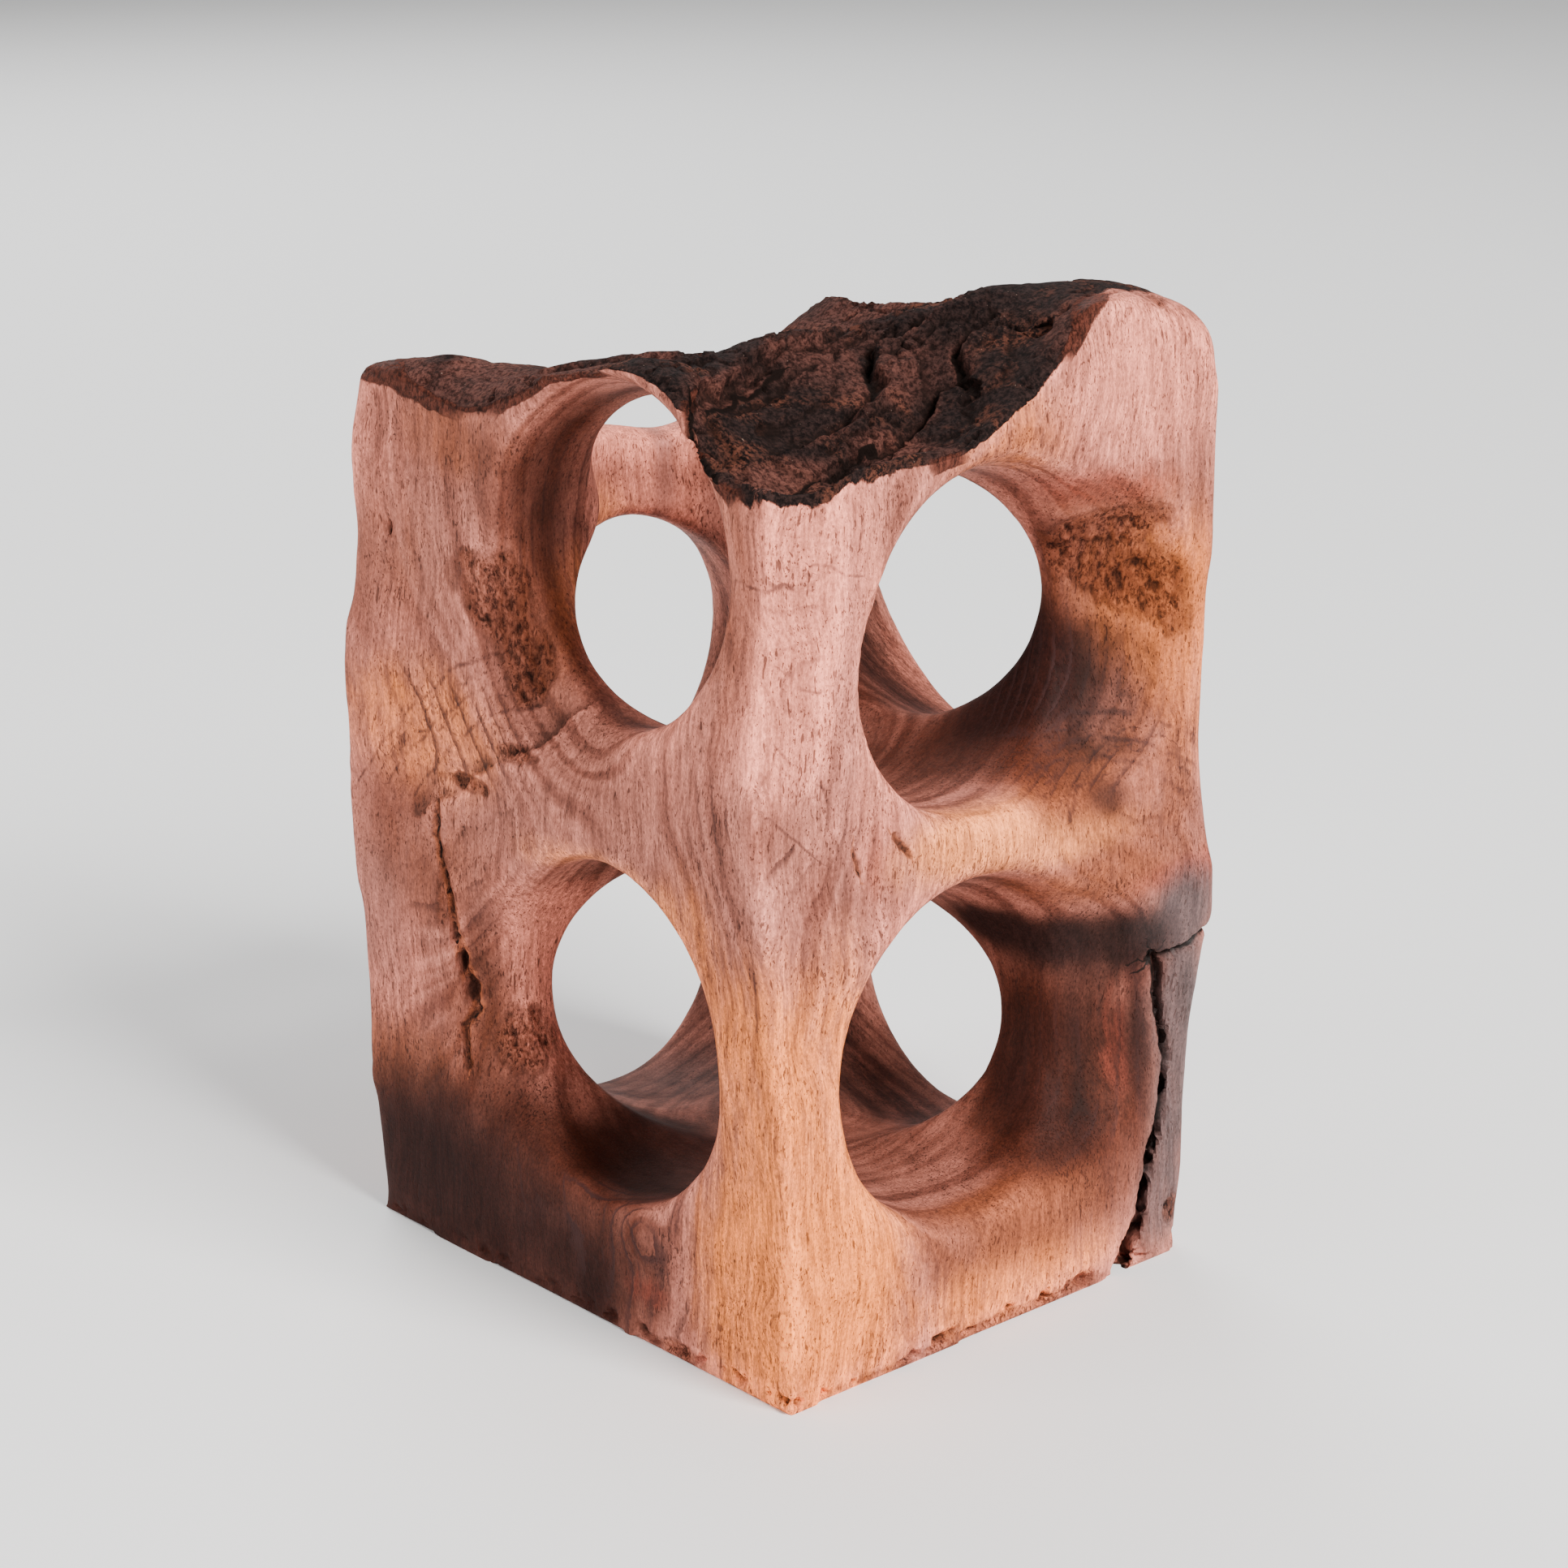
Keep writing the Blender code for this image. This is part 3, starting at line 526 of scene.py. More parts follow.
def soft_noise(points, seed):
    """Smooth noise from -1 to 1: the hashes of a cell's eight corners, blended by 3t^2 - 2t^3."""
    cell = np.floor(points).astype(np.int64)
    t = points - cell
    t = t * t * (3.0 - 2.0 * t)
    total = np.zeros(len(points))
    for corner in itertools.product((0, 1), repeat=3):
        weight = np.prod(np.where(corner, t, 1.0 - t), axis=1)
        total += weight * cell_hash(cell + corner, seed)
    return 2.0 * total - 1.0


def soft_push(points, seed):
    """Three soft noises, one for each axis."""
    return np.stack([soft_noise(points, seed + axis) for axis in range(3)], 1)


def layered_noise(points, seed, layers=3):
    """Soft noise plus copies of it, each twice as fine and half as strong as the one before."""
    total = np.zeros(len(points))
    for layer in range(layers):
        total += soft_noise(points * 2.0 ** layer + LAYER_SHIFT * layer, seed + layer) * 0.5 ** layer
    return total / (2.0 - 0.5 ** (layers - 1))


def check_lines(points, seed):
    """Distance to the second nearest seed point less that to the nearest, each unit cell having one.

    It is zero along the walls between seed points, which look like the checks in dry bark.
    """
    cell = np.floor(points).astype(np.int64)
    nearest = np.full(len(points), np.inf)
    second = np.full(len(points), np.inf)
    for step in itertools.product((-1, 0, 1), repeat=3):
        there = cell + step
        seeds = there + np.stack([cell_hash(there, seed + axis) for axis in range(3)], 1)
        far = np.linalg.norm(points - seeds, axis=1)
        second = np.minimum(second, np.maximum(nearest, far))
        nearest = np.minimum(nearest, far)
    return second - nearest


def spots(points, places):
    """One less the product of (1 - strength * f) over the places, f falling from 1 to 0 over SPOT_FADE."""
    rest = np.ones(len(points))
    for x, y, z, along_x, along_y, along_z, strength in places:
        reaches = np.linalg.norm((points - (x, y, z)) / (along_x, along_y, along_z), axis=1)
        rest *= 1.0 - strength * (1.0 - ease(reaches, *SPOT_FADE))
    return 1.0 - rest


def path_distance(points, path):
    """Least distance to the straight stretches of the path."""
    least = np.full(len(points), np.inf)
    for start, end in zip(np.array(path)[:-1], np.array(path)[1:]):
        run = end - start
        t = np.clip((points - start) @ run / (run @ run), 0.0, 1.0)
        least = np.minimum(least, np.linalg.norm(points - start - t[:, None] * run, axis=1))
    return least


def wandered(points, reaches=CRACK_WANDER):
    """The points moved by two soft noises, fine and broad, which makes a drawn line a torn one."""
    small = soft_push(points / WANDER_SIZES[0], seed=70)
    large = soft_push(points / WANDER_SIZES[1], seed=80)
    return points + reaches[0] * small + reaches[1] * large


def across_path(points, face, path):
    """Signed distance to the path in the face's plane, plain distance there, and the way along, 0 to 1.

    The sign is that of the cross product of the nearest stretch and the way to the point.
    """
    flat = [axis for axis in range(3) if axis != face]
    path = np.array(path, dtype=float)
    signed = np.full(len(points), LINE_FAR)
    plain = np.full(len(points), LINE_FAR)
    along = np.zeros(len(points))
    for index, (start, end) in enumerate(zip(path[:-1], path[1:])):
        run = (end - start)[flat]
        step = (points - start)[:, flat]
        t = np.clip(step @ run / (run @ run), 0.0, 1.0)
        away = step - t[:, None] * run
        side = np.sign(run[0] * step[:, 1] - run[1] * step[:, 0])
        distance = np.linalg.norm(away, axis=1)
        space = np.linalg.norm(points - start - t[:, None] * (end - start), axis=1)
        nearer = (distance < np.abs(signed)) & (space < LINE_DEEP)
        signed = np.where(nearer, side * distance, signed)
        plain = np.where(nearer, distance, plain)
        along = np.where(nearer, (index + t) / (len(path) - 1), along)
    return signed, plain, along


def line_fields(points, lines, wander):
    """For the nearest of the lines: its signed distance in half widths, and its plain distance."""
    moved = wandered(points, wander)
    across = np.full(len(points), LINE_FAR)
    near = np.full(len(points), LINE_FAR)
    for face, first, last, *_, path in lines:
        signed, plain, along = across_path(moved, face, path)
        closer = plain < near
        across = np.where(closer, signed / (first + (last - first) * along), across)
        near = np.minimum(near, plain)
    return np.clip(across, -LINE_FAR, LINE_FAR), near


def grooves(points, lines):
    """The deepest of the lines' grooves: depth * exp(-(d / half width)^2), widened for the mesh."""
    moved = wandered(points)
    cut = np.zeros(len(points))
    for face, first, last, depth, path in lines:
        _, plain, along = across_path(moved, face, path)
        half_width = np.maximum(first + (last - first) * along, GROOVE_LEAST)
        cut = np.maximum(cut, depth * np.exp(-(plain / half_width) ** 2))
    return cut


def ledges(points, places):
    """The rise at broken flakes and how near their edges are.

    Rise: step * (e - 1/2), e easing across the path, times exp(-(d / reach)^2). Nearness: exp(-(d / rust)^2).
    """
    moved = wandered(points, LEDGE_WANDER)
    rise = np.zeros(len(points))
    edge = np.zeros(len(points))
    for face, step, path in places:
        signed, plain, _ = across_path(moved, face, path)
        rise += step * (ease(signed, -LEDGE_EDGE, LEDGE_EDGE) - 0.5) * np.exp(-(plain / LEDGE_REACH) ** 2)
        edge = np.maximum(edge, np.exp(-(plain / LEDGE_RUST) ** 2))
    return rise, edge


def pit_floor(points, deep=True):
    """The depth of the holes and pockets, or 1 where deep is false: full on their floor, 0 past their rim."""
    moved = wandered(points, PIT_WANDER)
    cut = np.zeros(len(points))
    for x, y, z, along_x, along_y, along_z, depth in PITS:
        reaches = np.linalg.norm((moved - (x, y, z)) / (along_x, along_y, along_z), axis=1)
        cut = np.maximum(cut, (depth if deep else 1.0) * (1.0 - ease(reaches, *PIT_FLOOR)))
    return cut


def kept_edges(points):
    """Least distance to the crisp edges."""
    return np.min([path_distance(points, path) for path in KEPT_EDGES], axis=0)


def read_vectors(items, name):
    """The named three-part values of a mesh's items, one row each."""
    values = np.empty(len(items) * 3)
    items.foreach_get(name, values)
    return values.reshape(-1, 3)


def mesh_edges(mesh):
    """The two vertices of each edge, one row each."""
    ends = np.empty(len(mesh.edges) * 2, dtype=np.int32)
    mesh.edges.foreach_get("vertices", ends)
    return ends.reshape(-1, 2)


def neighbour_mean(values, ends):
    """For each vertex, the sum of its neighbours' values over its edges, divided by their number."""
    count = len(values)
    first, second = ends.T
    number = np.bincount(first, minlength=count) + np.bincount(second, minlength=count)
    columns = [
        np.bincount(first, values[second, k], count) + np.bincount(second, values[first, k], count)
        for k in range(values.shape[1])
    ]
    return np.stack(columns, 1) / np.maximum(number, 1)[:, None]


def smoothed(values, ends, steps, amount=1.0):
    """The values moved that many times towards their neighbours' mean, by the amount at each vertex."""
    for _ in range(steps):
        values = values + amount * (neighbour_mean(values, ends) - values)
    return values


def crease_mask(mesh, ends):
    """1 along sharp edges, 0 elsewhere: 1 less the dot product of neighbouring normals, eased and spread."""
    normals = read_vectors(mesh.vertex_normals, "vector")
    normals = smoothed(normals, ends, CREASE_CALM_STEPS)
    normals /= np.linalg.norm(normals, axis=1)[:, None]
    bend = 1.0 - (normals[ends[:, 0]] * normals[ends[:, 1]]).sum(1)
    sharpest = np.zeros(len(normals))
    np.maximum.at(sharpest, ends[:, 0], bend)
    np.maximum.at(sharpest, ends[:, 1], bend)
    mask = ease(sharpest, *CREASE_BEND)[:, None]
    return np.clip(CREASE_GAIN * smoothed(mask, ends, CREASE_SPREAD_STEPS), 0.0, 1.0)


def write_points(mesh, points):
    """Puts the points, given in millimetres, into the mesh."""
    mesh.vertices.foreach_set("co", (points * MM).ravel())
    mesh.update()


def apply_modifier(piece, kind, **settings):
    """Puts a modifier's result into the piece's mesh."""
    modifier = piece.modifiers.new(kind.lower(), kind)
    for name, value in settings.items():
        setattr(modifier, name, value)
    ready = piece.evaluated_get(bpy.context.evaluated_depsgraph_get())
    mesh = bpy.data.meshes.new_from_object(ready)
    piece.modifiers.clear()
    piece.data = mesh


def copy_of_solid():
    """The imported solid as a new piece, its loose triangles merged."""
    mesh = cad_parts[BLOCK].data.copy()
    work = bmesh.new()
    work.from_mesh(mesh)
    bmesh.ops.remove_doubles(work, verts=work.verts, dist=WELD * MM)
    work.to_mesh(mesh)
    work.free()
    mesh.materials.clear()
    piece = bpy.data.objects.new("weathered_block", mesh)
    bpy.context.scene.collection.objects.link(piece)
    return piece


def crust_mask(points, normals):
    """1 on the weathered top: where the wood is high enough and faces up, with a ragged border."""
    ragged = CRUST_RAGGED * layered_noise(points / CRUST_RAGGED_SIZE, seed=31)
    high = ease(points[:, 2], *CRUST_HEIGHT)
    upward = ease(normals[:, 2] + ragged, *CRUST_SLOPE)
    return high * upward * (1.0 - spots(points, BARE_TOP_SPOTS))


def torn_mask(points):
    """1 in the torn places, with a ragged border."""
    ragged = TORN_RAGGED * layered_noise(points / TORN_RAGGED_SIZE, seed=41)
    return ease(spots(points, TORN_SPOTS) + ragged, *TORN_BORDER)


def hand_relief(points):
    """Slow waves of hand smoothing, fine unevenness, flutes along the grain and slanting tool strokes."""
    relief = HAND_WAVE * soft_noise(points / HAND_WAVE_SIZE, seed=3)
    relief += FINE_WAVE * layered_noise(points / FINE_WAVE_SIZE, seed=5)
    relief += FLUTE_HEIGHT * spots(points, FLUTE_SPOTS) * layered_noise(points / FLUTE_SIZE, seed=7, layers=2)
    turns = (points[:, 2] - STROKE_SLANT * points[:, 1]) / STROKE_SPACING
    turns += STROKE_WANDER * soft_noise(points / STROKE_WANDER_SIZE, seed=9)
    return relief + STROKE_HEIGHT * spots(points, STROKE_SPOTS) * np.sin(2.0 * math.pi * turns)


def torn_relief(points):
    """Standing fibres, long along the grain, sunk below the wood round them, and pits where they broke."""
    leaning = points + TORN_LEAN * points[:, 2:3]
    fibres = layered_noise(leaning / TORN_FIBRE_SIZE, seed=13)
    pits = ease(soft_noise(leaning / TORN_PIT_SIZE, seed=17), *TORN_PIT_EDGE)
    return -TORN_DEPTH + TORN_FIBRE * fibres - TORN_PIT * pits


def crust_relief(points):
    """Flakes as steps of slow noise, fine grains, and checks between the cells of dry bark."""
    slow = FLAKE_LEVELS * layered_noise(points / FLAKE_SIZE, seed=19, layers=2)
    flakes = np.floor(slow) + ease(slow - np.floor(slow), *FLAKE_FACE)
    grains = layered_noise(points / CRUST_GRAIN_SIZE, seed=23)
    wander = CHECK_WANDER * soft_push(points / CHECK_WANDER_SIZE, seed=27)
    checks = 1.0 - ease(check_lines(points / CRUST_CELL + wander, seed=29), *CHECK_WIDTH)
    checked = ease(soft_noise(points / CHECKED_SIZE, seed=33), *CHECKED_PART)
    return FLAKE_STEP * flakes + CRUST_GRAIN * grains - CHECK_DEPTH * checks * checked


def base_chips(points, normals):
    """Small bites out of the sawn lower edge, deepest at the base, none on the base itself."""
    low = 1.0 - ease(points[:, 2], 0.4 * CHIP_HEIGHT, CHIP_HEIGHT)
    side = 1.0 - ease(-normals[:, 2], *FACING_DOWN)
    bites = ease(layered_noise(points / CHIP_SIZE, seed=37), *CHIP_BITE)
    share = CHIP_LEFT_SHARE + (1.0 - CHIP_LEFT_SHARE) * ease(points[:, 0], *CHIP_RIGHT)
    return CHIP_DEPTH * low * side * bites * share


def add_relief(points, normals):
    """The points moved along their normals by all the relief of the wood."""
    crust = crust_mask(points, normals)
    torn = torn_mask(points) * (1.0 - crust)
    height = hand_relief(points) * (1.0 - crust)
    height += torn * torn_relief(points)
    height += crust * crust_relief(points)
    height += crust * ledges(points, LEDGES)[0] + ledges(points, [BELT_LEDGE])[0]
    height += EDGE_LIFT * (1.0 - crust) * np.exp(-kept_edges(points) / EDGE_SLOPE)
    height -= grooves(points, DRYING_CRACKS + FISSURES + CRUST_CRACKS)
    height -= pit_floor(points)
    height -= base_chips(points, normals)
    height *= ease(points[:, 2], BASE_FLAT, 3.0 * BASE_FLAT)
    return points + height[:, None] * normals


def ring_field(points):
    """Distance from the bent pith, more towards the foot, with slow wander and a swell round each knot."""
    bend = np.sin(points[:, 2] / PITH_BEND_HEIGHT)
    across = points[:, 0] - PITH[0] - PITH_BEND[0] * bend
    deep = points[:, 1] - PITH[1] - PITH_BEND[1] * bend
    rings = np.hypot(across, deep) + RING_TAPER * points[:, 2]
    rings += RING_WANDER * layered_noise(points / RING_WANDER_SIZE, seed=43, layers=2)
    for x, y, z, radius, swell in RING_SWELLS:
        q = ((points - (x, y, z)) ** 2).sum(1) / radius ** 2
        rings += swell * np.exp(-q / 2.0)
    return rings


def surface_masks(piece):
    """Stores at the vertices every number that the material reads: rings, spots, places, lines and edges."""
    mesh = piece.data
    points = read_vectors(mesh.vertices, "co") / MM
    normals = read_vectors(mesh.vertex_normals, "vector")
    ends = mesh_edges(mesh)
    calm = smoothed(normals, ends, CALM_STEPS)
    crust = crust_mask(points, calm / np.linalg.norm(calm, axis=1)[:, None])
    wide = smoothed(crust[:, None], ends, CALM_STEPS)[:, 0]
    below = ((smoothed(points, ends, CALM_STEPS) - points) * normals).sum(1)
    masks = {
        "rings": ring_field(points),
        "figure": PLAIN_FIGURE + (1.0 - PLAIN_FIGURE) * spots(points, FIGURE_SPOTS),
        "crust": crust,
        "torn": torn_mask(points) * (1.0 - crust),
        # Painted shade on the floors of the holes and pockets
        "pit_shade": pit_floor(points, deep=False),
        # A painted highlight along the ridge of the near corner
        "edge": 1.0 - ease(path_distance(points, KEPT_EDGES[0]), *EDGE_HIGHLIGHT),
        "rust": np.maximum(spots(points, RUST_SPOTS), LEDGE_RUST_SHARE * ledges(points, LEDGES)[1]),
        "rim": ease(wide, *RIM_OUTSIDE) * (1.0 - ease(wide, *RIM_INSIDE)),
        # Painted shade where the surface lies below its smoothed neighbours, in hollows and creases
        "hollow_shade": ease(below, *HOLLOW_SHADE_DEPTH),
        "worn": ease(-below, *WORN_HEIGHT),
    }
    masks.update({name: spots(points, places) for name, _, _, places in STAINS})
    for name, (lines, wander) in LINE_SETS.items():
        masks[name + "_across"], masks[name + "_near"] = line_fields(points, lines, wander)
    for name, values in masks.items():
        layer = mesh.attributes.new(name, "FLOAT", "POINT")
        layer.data.foreach_set("value", values.astype(np.float32))


def keep_inside(mesh, points):
    """Writes the points into the mesh, none of them outside the solid's own box."""
    low, high = np.array(CAD_BOX) / MM
    write_points(mesh, np.clip(points, low + np.array((BOX_GAP, BOX_GAP, 0.0)), high - BOX_GAP))


def build_block():
    """The block's surface: remeshed, smoothed away from its creases, given its relief and thinned."""
    piece = copy_of_solid()
    apply_modifier(piece, "REMESH", mode="VOXEL", voxel_size=VOXEL * MM, adaptivity=0.0)
    mesh = piece.data
    ends = mesh_edges(mesh)
    points = read_vectors(mesh.vertices, "co") / MM
    soft = 1.0 - crease_mask(mesh, ends)
    soft *= ease(kept_edges(points), 0.5 * KEPT_REACH, KEPT_REACH)[:, None]
    grounded = points[:, 2] < BASE_FLAT
    points = smoothed(points, ends, CREASE_STEPS, CREASE_SOFTENING)
    points = smoothed(points, ends, SMOOTH_STEPS, soft)
    points[grounded, 2] = 0.0
    write_points(mesh, points)
    keep_inside(mesh, add_relief(points, read_vectors(mesh.vertex_normals, "vector")))
    triangles = sum(len(face.vertices) - 2 for face in mesh.polygons)
    apply_modifier(piece, "DECIMATE", ratio=min(1.0, SURFACE_TRIANGLES / triangles))
    keep_inside(piece.data, read_vectors(piece.data.vertices, "co") / MM)
    piece.data.shade_smooth()
    piece.data.set_sharp_from_angle(angle=SHARP_ANGLE)
    surface_masks(piece)
    return piece


def add_node(tree, kind, inputs=None, **settings):
    """A new node, its settings and inputs set: an input is a value or the socket it is linked from."""
    node = tree.nodes.new(kind)
    for name, value in settings.items():
        setattr(node, name, value)
    for name, value in (inputs or {}).items():
        if isinstance(value, bpy.types.NodeSocket):
            tree.links.new(value, node.inputs[name])
        else:
            node.inputs[name].default_value = value
    return node


def calculate(tree, operation, *values, clamp=False):
    """The result of a Math node."""
    node = add_node(tree, "ShaderNodeMath", dict(enumerate(values)), operation=operation, use_clamp=clamp)
    return node.outputs[0]


def times(tree, first, second):
    """The product of two values."""
    return calculate(tree, "MULTIPLY", first, second)


def scaled(tree, value, factor, offset):
    """The value times the factor, plus the offset."""
    return calculate(tree, "MULTIPLY_ADD", value, factor, offset)


def centred(tree, value, reach):
    """The value less one half, times the reach."""
    return scaled(tree, value, reach, -0.5 * reach)


def change(tree, operation, inputs):
    """The result of a Vector Math node."""
    return add_node(tree, "ShaderNodeVectorMath", inputs, operation=operation).outputs[0]


def blend(tree, amount, below, above, mode="MIX"):
    """The colour that a Mix node makes of two colours."""
    node = add_node(tree, "ShaderNodeMix", {0: amount, 6: below, 7: above}, data_type="RGBA", blend_type=mode)
    return node.outputs[2]


def eased(tree, value, low, high, start=0.0, stop=1.0):
    """The value carried from low..high to start..stop along a smooth step."""
    inputs = {"Value": value, "From Min": low, "From Max": high, "To Min": start, "To Max": stop}
    return add_node(tree, "ShaderNodeMapRange", inputs, interpolation_type="SMOOTHSTEP").outputs["Result"]


def shaded(tree, colour, value, span):
    """The colour times the value eased over the span."""
    return blend(tree, 1.0, colour, eased(tree, value, *span), "MULTIPLY")


def noise(tree, place, scale, detail, roughness=0.5, distortion=0.0, along=1.0):
    """Noise at the place, 0 to 1, its waves stretched up the trunk where along is less than 1."""
    if along != 1.0:
        place = change(tree, "MULTIPLY", {0: place, 1: (1.0, 1.0, along)})
    inputs = {
        "Vector": place, "Scale": scale, "Detail": detail, "Roughness": roughness, "Distortion": distortion,
    }
    return add_node(tree, "ShaderNodeTexNoise", inputs).outputs["Fac"]


def read_mask(tree, name):
    """A number stored at the vertices."""
    return add_node(tree, "ShaderNodeAttribute", attribute_name=name).outputs["Fac"]


def new_group(name, inputs, outputs):
    """An empty node group with the named float, vector and colour sockets, and its two end nodes."""
    kinds = {"value": "NodeSocketFloat", "vector": "NodeSocketVector", "colour": "NodeSocketColor"}
    tree = bpy.data.node_groups.new(name, "ShaderNodeTree")
    for side, sockets in (("INPUT", inputs), ("OUTPUT", outputs)):
        for label, kind in sockets.items():
            tree.interface.new_socket(label, in_out=side, socket_type=kinds[kind])
    return tree, tree.nodes.new("NodeGroupInput").outputs, tree.nodes.new("NodeGroupOutput").inputs


def ring_group():
    """Growth rings: thin dark late wood at the end of each ring, broken along its length, and slow bands."""
    sides = {"Place": "vector", "Rings": "value", "Spacing": "value"}
    tree, given, result = new_group("growth_rings", sides, {"Lines": "value", "Bands": "value"})
    distance = scaled(tree, noise(tree, given["Place"], *RING_WOBBLE), 0.9, given["Rings"])
    turn = calculate(tree, "FRACT", calculate(tree, "DIVIDE", distance, given["Spacing"]))
    late = times(tree, eased(tree, turn, *LATE_WOOD), eased(tree, turn, *RING_END))
    broken = eased(tree, noise(tree, given["Place"], *RING_BREAKS, along=0.4), 0.36, 0.56)
    tree.links.new(times(tree, late, broken), result["Lines"])
    across = {"W": distance, "Scale": 0.33, "Detail": 3.0}
    slow = add_node(tree, "ShaderNodeTexNoise", across, noise_dimensions="1D").outputs["Fac"]
    tree.links.new(eased(tree, slow, 0.3, 0.7), result["Bands"])
    return tree


def pore_group():
    """Open pores: short dark dashes along the grain, denser in some places, and the fibres between them."""
    tree, given, result = new_group("open_pores", {"Place": "vector"}, {"Pores": "value", "Fibres": "value"})
    bent = add_node(tree, "ShaderNodeTexNoise", {"Vector": given["Place"], "Scale": 0.07, "Detail": 1.0})
    shift = change(tree, "SCALE", {0: bent.outputs["Color"], "Scale": 5.0})
    place = change(tree, "ADD", {0: given["Place"], 1: shift})
    line = scaled(tree, noise(tree, place, *PORE_CROWD), -0.30, 0.84)
    long_dash = calculate(tree, "SUBTRACT", noise(tree, place, *LONG_PORES, along=0.20), line)
    short_dash = calculate(tree, "SUBTRACT", noise(tree, place, *SHORT_PORES, along=0.42), line)
    dashes = eased(tree, long_dash, -0.02, 0.04), eased(tree, short_dash, -0.03, 0.03)
    tree.links.new(calculate(tree, "MAXIMUM", *dashes), result["Pores"])
    tree.links.new(noise(tree, place, *FIBRES, along=0.06), result["Fibres"])
    return tree


def crust_group():
    """Weathered crust: near-black brown in grains, rusty where flakes broke off, with a few pale specks."""
    sides = {"Place": "vector", "Rust": "value"}
    tree, given, result = new_group("weathered_crust", sides, {"Colour": "colour", "Grain": "value"})
    grain = noise(tree, given["Place"], *BARK_GRAIN)
    patch = noise(tree, given["Place"], *BARK_PATCH)
    colour = blend(tree, eased(tree, grain, 0.40, 0.62), CRUST_BLACK, CRUST_BROWN)
    rusty = times(tree, eased(tree, patch, 0.48, 0.66), eased(tree, grain, 0.42, 0.60))
    colour = blend(tree, times(tree, rusty, 0.8), colour, CRUST_RUST)
    red = blend(tree, eased(tree, grain, 0.38, 0.62), CRUST_RED_DARK, CRUST_RED)
    colour = blend(tree, times(tree, given["Rust"], eased(tree, patch, 0.25, 0.55)), colour, red)
    speck = eased(tree, noise(tree, given["Place"], *BARK_SPECKS), 0.76, 0.82)
    colour = blend(tree, times(tree, speck, 0.7), colour, CRUST_SPECK)
    tree.links.new(colour, result["Colour"])
    tree.links.new(grain, result["Grain"])
    return tree


def broken_mask(tree, name, streaks):
    """A stored mask whose border dissolves in the streaks of the wood."""
    mask = read_mask(tree, name)
    border = times(tree, mask, calculate(tree, "SUBTRACT", 1.0, mask))
    return calculate(tree, "ADD", mask, times(tree, border, centred(tree, streaks, 7.0)), clamp=True)


def sharpened(tree, name, grain):
    """A stored soft mask with a crisp border that follows a grain."""
    value = scaled(tree, calculate(tree, "SUBTRACT", grain, 0.5), 0.9, read_mask(tree, name))
    return eased(tree, value, 0.40, 0.60)


def line_mask(tree, name, ragged, full, none, reach):
    """1 within full half widths of a stored line's middle, 0 past none half widths or past the reach."""
    across = calculate(tree, "ABSOLUTE", read_mask(tree, name + "_across"))
    line = eased(tree, scaled(tree, ragged, 0.6, across), none, full)
    return times(tree, line, eased(tree, read_mask(tree, name + "_near"), reach, 0.7 * reach))


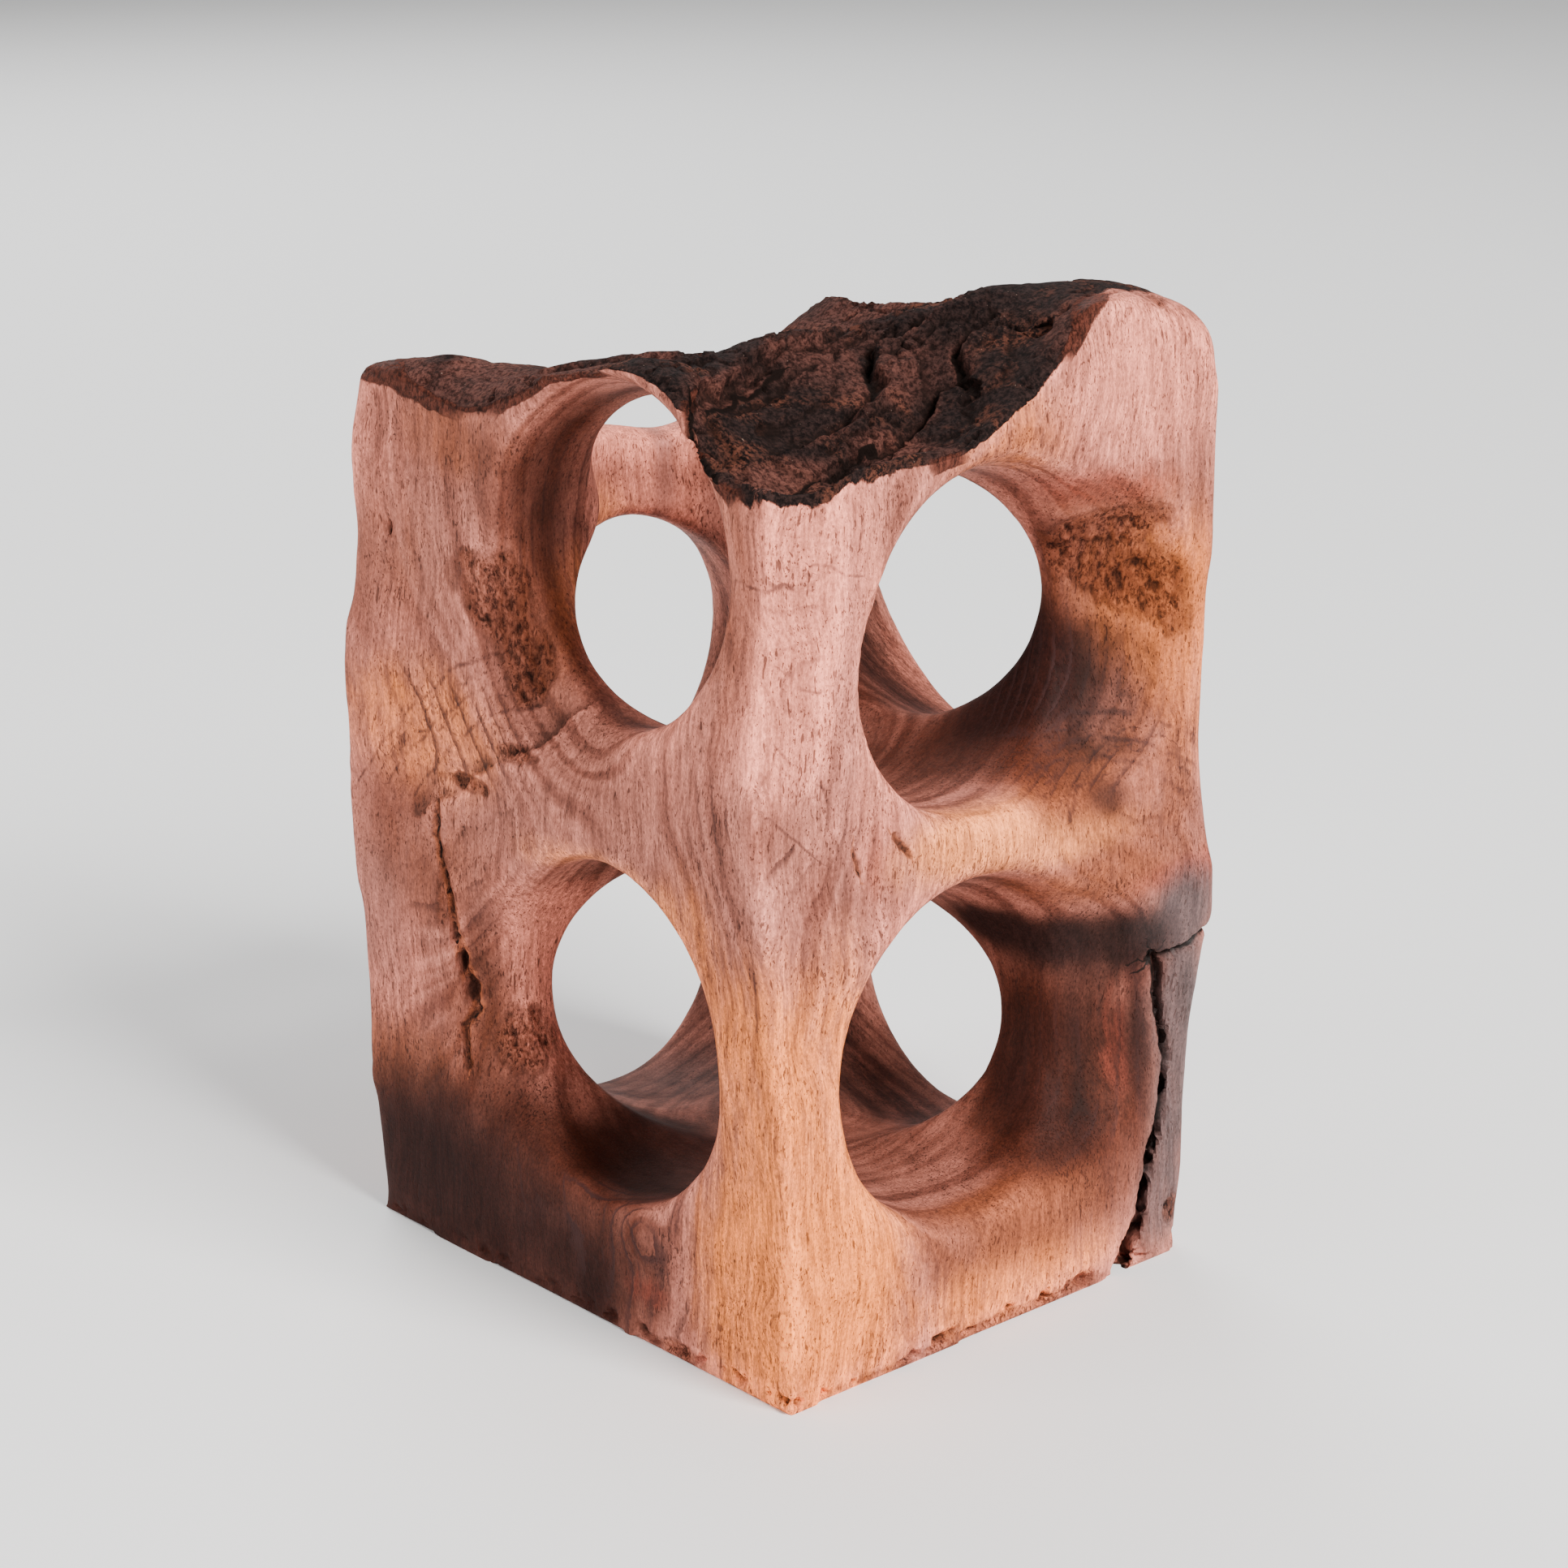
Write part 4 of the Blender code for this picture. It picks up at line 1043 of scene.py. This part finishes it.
def wood_material(rings, pores, crust):
    """The wood's colour, gloss and fine relief, from light wood through its stains, painted shade and a
    painted highlight to torn wood and crust.
    """
    material = bpy.data.materials.new("driftwood")
    material.use_nodes = True
    tree = material.node_tree
    tree.nodes.clear()
    where = add_node(tree, "ShaderNodeTexCoord").outputs["Object"]
    place = change(tree, "SCALE", {0: where, "Scale": 1.0 / MM})
    rust = read_mask(tree, "rust")
    sides = {"Place": place, "Rings": read_mask(tree, "rings"), "Spacing": 2.1}
    ring = add_node(tree, "ShaderNodeGroup", sides, node_tree=rings).outputs
    pore = add_node(tree, "ShaderNodeGroup", {"Place": place}, node_tree=pores).outputs
    bark = add_node(tree, "ShaderNodeGroup", {"Place": place, "Rust": rust}, node_tree=crust).outputs
    lines = times(tree, ring["Lines"], read_mask(tree, "figure"))
    uneven = noise(tree, place, *UNEVEN, along=0.45)

    # Light and mid wood by its tone, then the stains with their painted shade, the fibres, the growth rings
    # and the pores
    clouds = times(tree, noise(tree, place, *CLOUDY), 0.60)
    tone = scaled(tree, uneven, 0.45, scaled(tree, ring["Bands"], 0.42, clouds))
    colour = blend(tree, eased(tree, tone, 0.48, 1.05), LIGHT_WOOD, MID_WOOD)
    streaks = scaled(tree, pore["Fibres"], 0.55, times(tree, uneven, 0.45))
    for name, tint, strength, _ in STAINS:
        colour = blend(tree, times(tree, broken_mask(tree, name, streaks), strength), colour, tint)
    colour = shaded(tree, colour, pore["Fibres"], FIBRE_SHADE)
    colour = shaded(tree, colour, noise(tree, place, *SPECKLE, along=0.5), SPECKLE_SHADE)
    colour = blend(tree, times(tree, lines, 0.85), colour, RING_INK)
    colour = blend(tree, times(tree, pore["Pores"], 0.7), colour, PORE_INK)
    grain_line = line_mask(tree, "grain", centred(tree, pore["Fibres"], LINE_RAGGED), *GRAIN_LINE)
    grain_line = times(tree, grain_line, eased(tree, noise(tree, place, *GRAIN_BREAKS), 0.36, 0.60))
    colour = blend(tree, times(tree, grain_line, 0.62), colour, RING_INK)

    # Torn places, and fissures: rusty sides round a core of painted shade that comes and goes
    torn = read_mask(tree, "torn")
    torn_grain = noise(tree, place, *TORN_GRAIN, along=0.5)
    light = blend(tree, 0.45, colour, TORN_LIGHT)
    torn_wood = blend(tree, eased(tree, torn_grain, 0.40, 0.53), TORN_DARK, light)
    torn_edge = scaled(tree, torn, 0.45, calculate(tree, "SUBTRACT", 0.66, torn_grain))
    torn_amount = times(tree, eased(tree, torn, 0.02, 0.80), eased(tree, torn_edge, 0.12, 0.56))
    colour = blend(tree, times(tree, torn_amount, 0.75), colour, torn_wood)
    ragged = centred(tree, torn_grain, LINE_RAGGED)
    fissure = line_mask(tree, "fissure", ragged, *FISSURE_LINE)
    rusty = blend(tree, eased(tree, torn_grain, 0.40, 0.56), TORN_DARK, FISSURE_RUST)
    colour = blend(tree, times(tree, fissure, 0.6), colour, rusty)
    broken = eased(tree, noise(tree, place, *FISSURE_BREAKS), 0.47, 0.60)
    # Painted shade in the fissure's core, broken along it
    core = times(tree, line_mask(tree, "fissure", ragged, *FISSURE_CORE), broken)
    colour = blend(tree, core, colour, CRACK_AND_HOLLOW_SHADE)

    # The crust and its broken rim, painted shade in hollows, pits and cracks, and lighter worn edges
    # with a painted highlight along the near corner
    crusty = sharpened(tree, "crust", torn_grain)
    colour = blend(tree, crusty, colour, bark["Colour"])
    rim = times(tree, sharpened(tree, "rim", torn_grain), eased(tree, rust, 0.1, 0.5))
    rim_wood = blend(tree, eased(tree, torn_grain, 0.40, 0.62), RIM_DARK, RIM_LIGHT)
    colour = blend(tree, rim, colour, rim_wood)
    # Painted shade in the hollows and on the floors of the pits
    hollow_shade = times(tree, read_mask(tree, "hollow_shade"), 0.75)
    hollow_shade = calculate(tree, "MAXIMUM", hollow_shade, sharpened(tree, "pit_shade", torn_grain))
    colour = blend(tree, hollow_shade, colour, CRACK_AND_HOLLOW_SHADE)
    # Painted shade along the cracks
    colour = blend(tree, line_mask(tree, "crack", ragged, *CRACK_LINE), colour, CRACK_AND_HOLLOW_SHADE)
    worn = times(tree, read_mask(tree, "worn"), calculate(tree, "SUBTRACT", 1.0, crusty))
    # Lighter where the wood is worn, with a painted highlight along the near corner's ridge
    wear_and_highlight = calculate(tree, "MAXIMUM", worn, read_mask(tree, "edge"))
    colour = shaded(tree, colour, wear_and_highlight, WEAR_AND_HIGHLIGHT_GAIN)

    # Dry wood, rougher where it is crusted or torn
    rough = scaled(tree, uneven, 0.16, 0.52)
    rough = calculate(tree, "MAXIMUM", rough, times(tree, crusty, 0.88))
    rough = calculate(tree, "MAXIMUM", rough, times(tree, torn, 0.85))

    # Fine relief in millimetres: pores and rings sunk, fibres and grain standing, coarse crust, torn fibres
    height = times(tree, pore["Pores"], -0.10)
    height = scaled(tree, pore["Fibres"], 0.07, height)
    height = scaled(tree, lines, -0.03, height)
    height = scaled(tree, noise(tree, place, *FINE_GRAIN), 0.05, height)
    height = scaled(tree, times(tree, bark["Grain"], crusty), 0.55, height)
    fibrous = times(tree, torn_grain, calculate(tree, "MAXIMUM", torn_amount, rim))
    height = scaled(tree, fibrous, 1.1, height)
    bump = add_node(tree, "ShaderNodeBump", {"Strength": 0.9, "Distance": MM, "Height": height})
    shader = add_node(tree, "ShaderNodeBsdfPrincipled", {
        "Base Color": colour, "Roughness": rough, "Normal": bump.outputs[0],
        "Specular IOR Level": scaled(tree, read_mask(tree, "grey"), 0.22, 0.07),
    })
    add_node(tree, "ShaderNodeOutputMaterial", {"Surface": shader.outputs[0]})
    return material


def floor_piece():
    """A plain pale floor."""
    bpy.ops.mesh.primitive_plane_add(size=8.0)
    floor = bpy.context.object
    floor.name = "floor"
    material = bpy.data.materials.new("pale_floor")
    material.use_nodes = True
    shader = material.node_tree.nodes["Principled BSDF"]
    shader.inputs["Base Color"].default_value = (0.86, 0.86, 0.86, 1)
    shader.inputs["Roughness"].default_value = 0.75
    floor.data.materials.append(material)


def lights():
    """A soft light from the right and above, weaker ones from the left and behind, and a white room."""
    middle = Vector((0, 0, CAMERA_AIM_HEIGHT * MM))
    for name, (place, size, power, colour) in LIGHTS.items():
        light = bpy.data.lights.new(name, "AREA")
        light.size = size
        light.energy = power
        light.color = colour
        lamp = bpy.data.objects.new(name, light)
        lamp.location = place
        lamp.rotation_euler = (Vector(place) - middle).to_track_quat("Z", "Y").to_euler()
        bpy.context.scene.collection.objects.link(lamp)
    world = bpy.data.worlds.new("room")
    world.use_nodes = True
    world.node_tree.nodes["Background"].inputs["Color"].default_value = (1.0, 1.0, 1.0, 1)
    world.node_tree.nodes["Background"].inputs["Strength"].default_value = 0.35
    bpy.context.scene.world = world


def camera():
    """Half a metre from the block's middle, turned round and above it, with its small step aside."""
    level = math.cos(CAMERA_RISE)
    back = Vector((math.sin(CAMERA_TURN) * level, -math.cos(CAMERA_TURN) * level, math.sin(CAMERA_RISE)))
    right = Vector((math.cos(CAMERA_TURN), math.sin(CAMERA_TURN), 0.0))
    up = back.cross(right)
    lens = bpy.data.cameras.new("camera")
    lens.lens = CAMERA_LENS
    lens.sensor_width = CAMERA_SENSOR
    lens.clip_start = CAMERA_NEAR * MM
    piece = bpy.data.objects.new("camera", lens)
    placed = Matrix((right, up, back)).transposed().to_4x4()
    aim = Vector((0.0, 0.0, CAMERA_AIM_HEIGHT))
    placed.translation = (aim + back * CAMERA_DISTANCE + right * CAMERA_SIDESTEP + up * CAMERA_LIFT) * MM
    piece.matrix_world = placed
    bpy.context.scene.collection.objects.link(piece)
    bpy.context.scene.camera = piece


camera()
block = build_block()
block.data.materials.append(wood_material(ring_group(), pore_group(), crust_group()))
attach(block, "root")
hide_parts(BLOCK)
floor_piece()
lights()
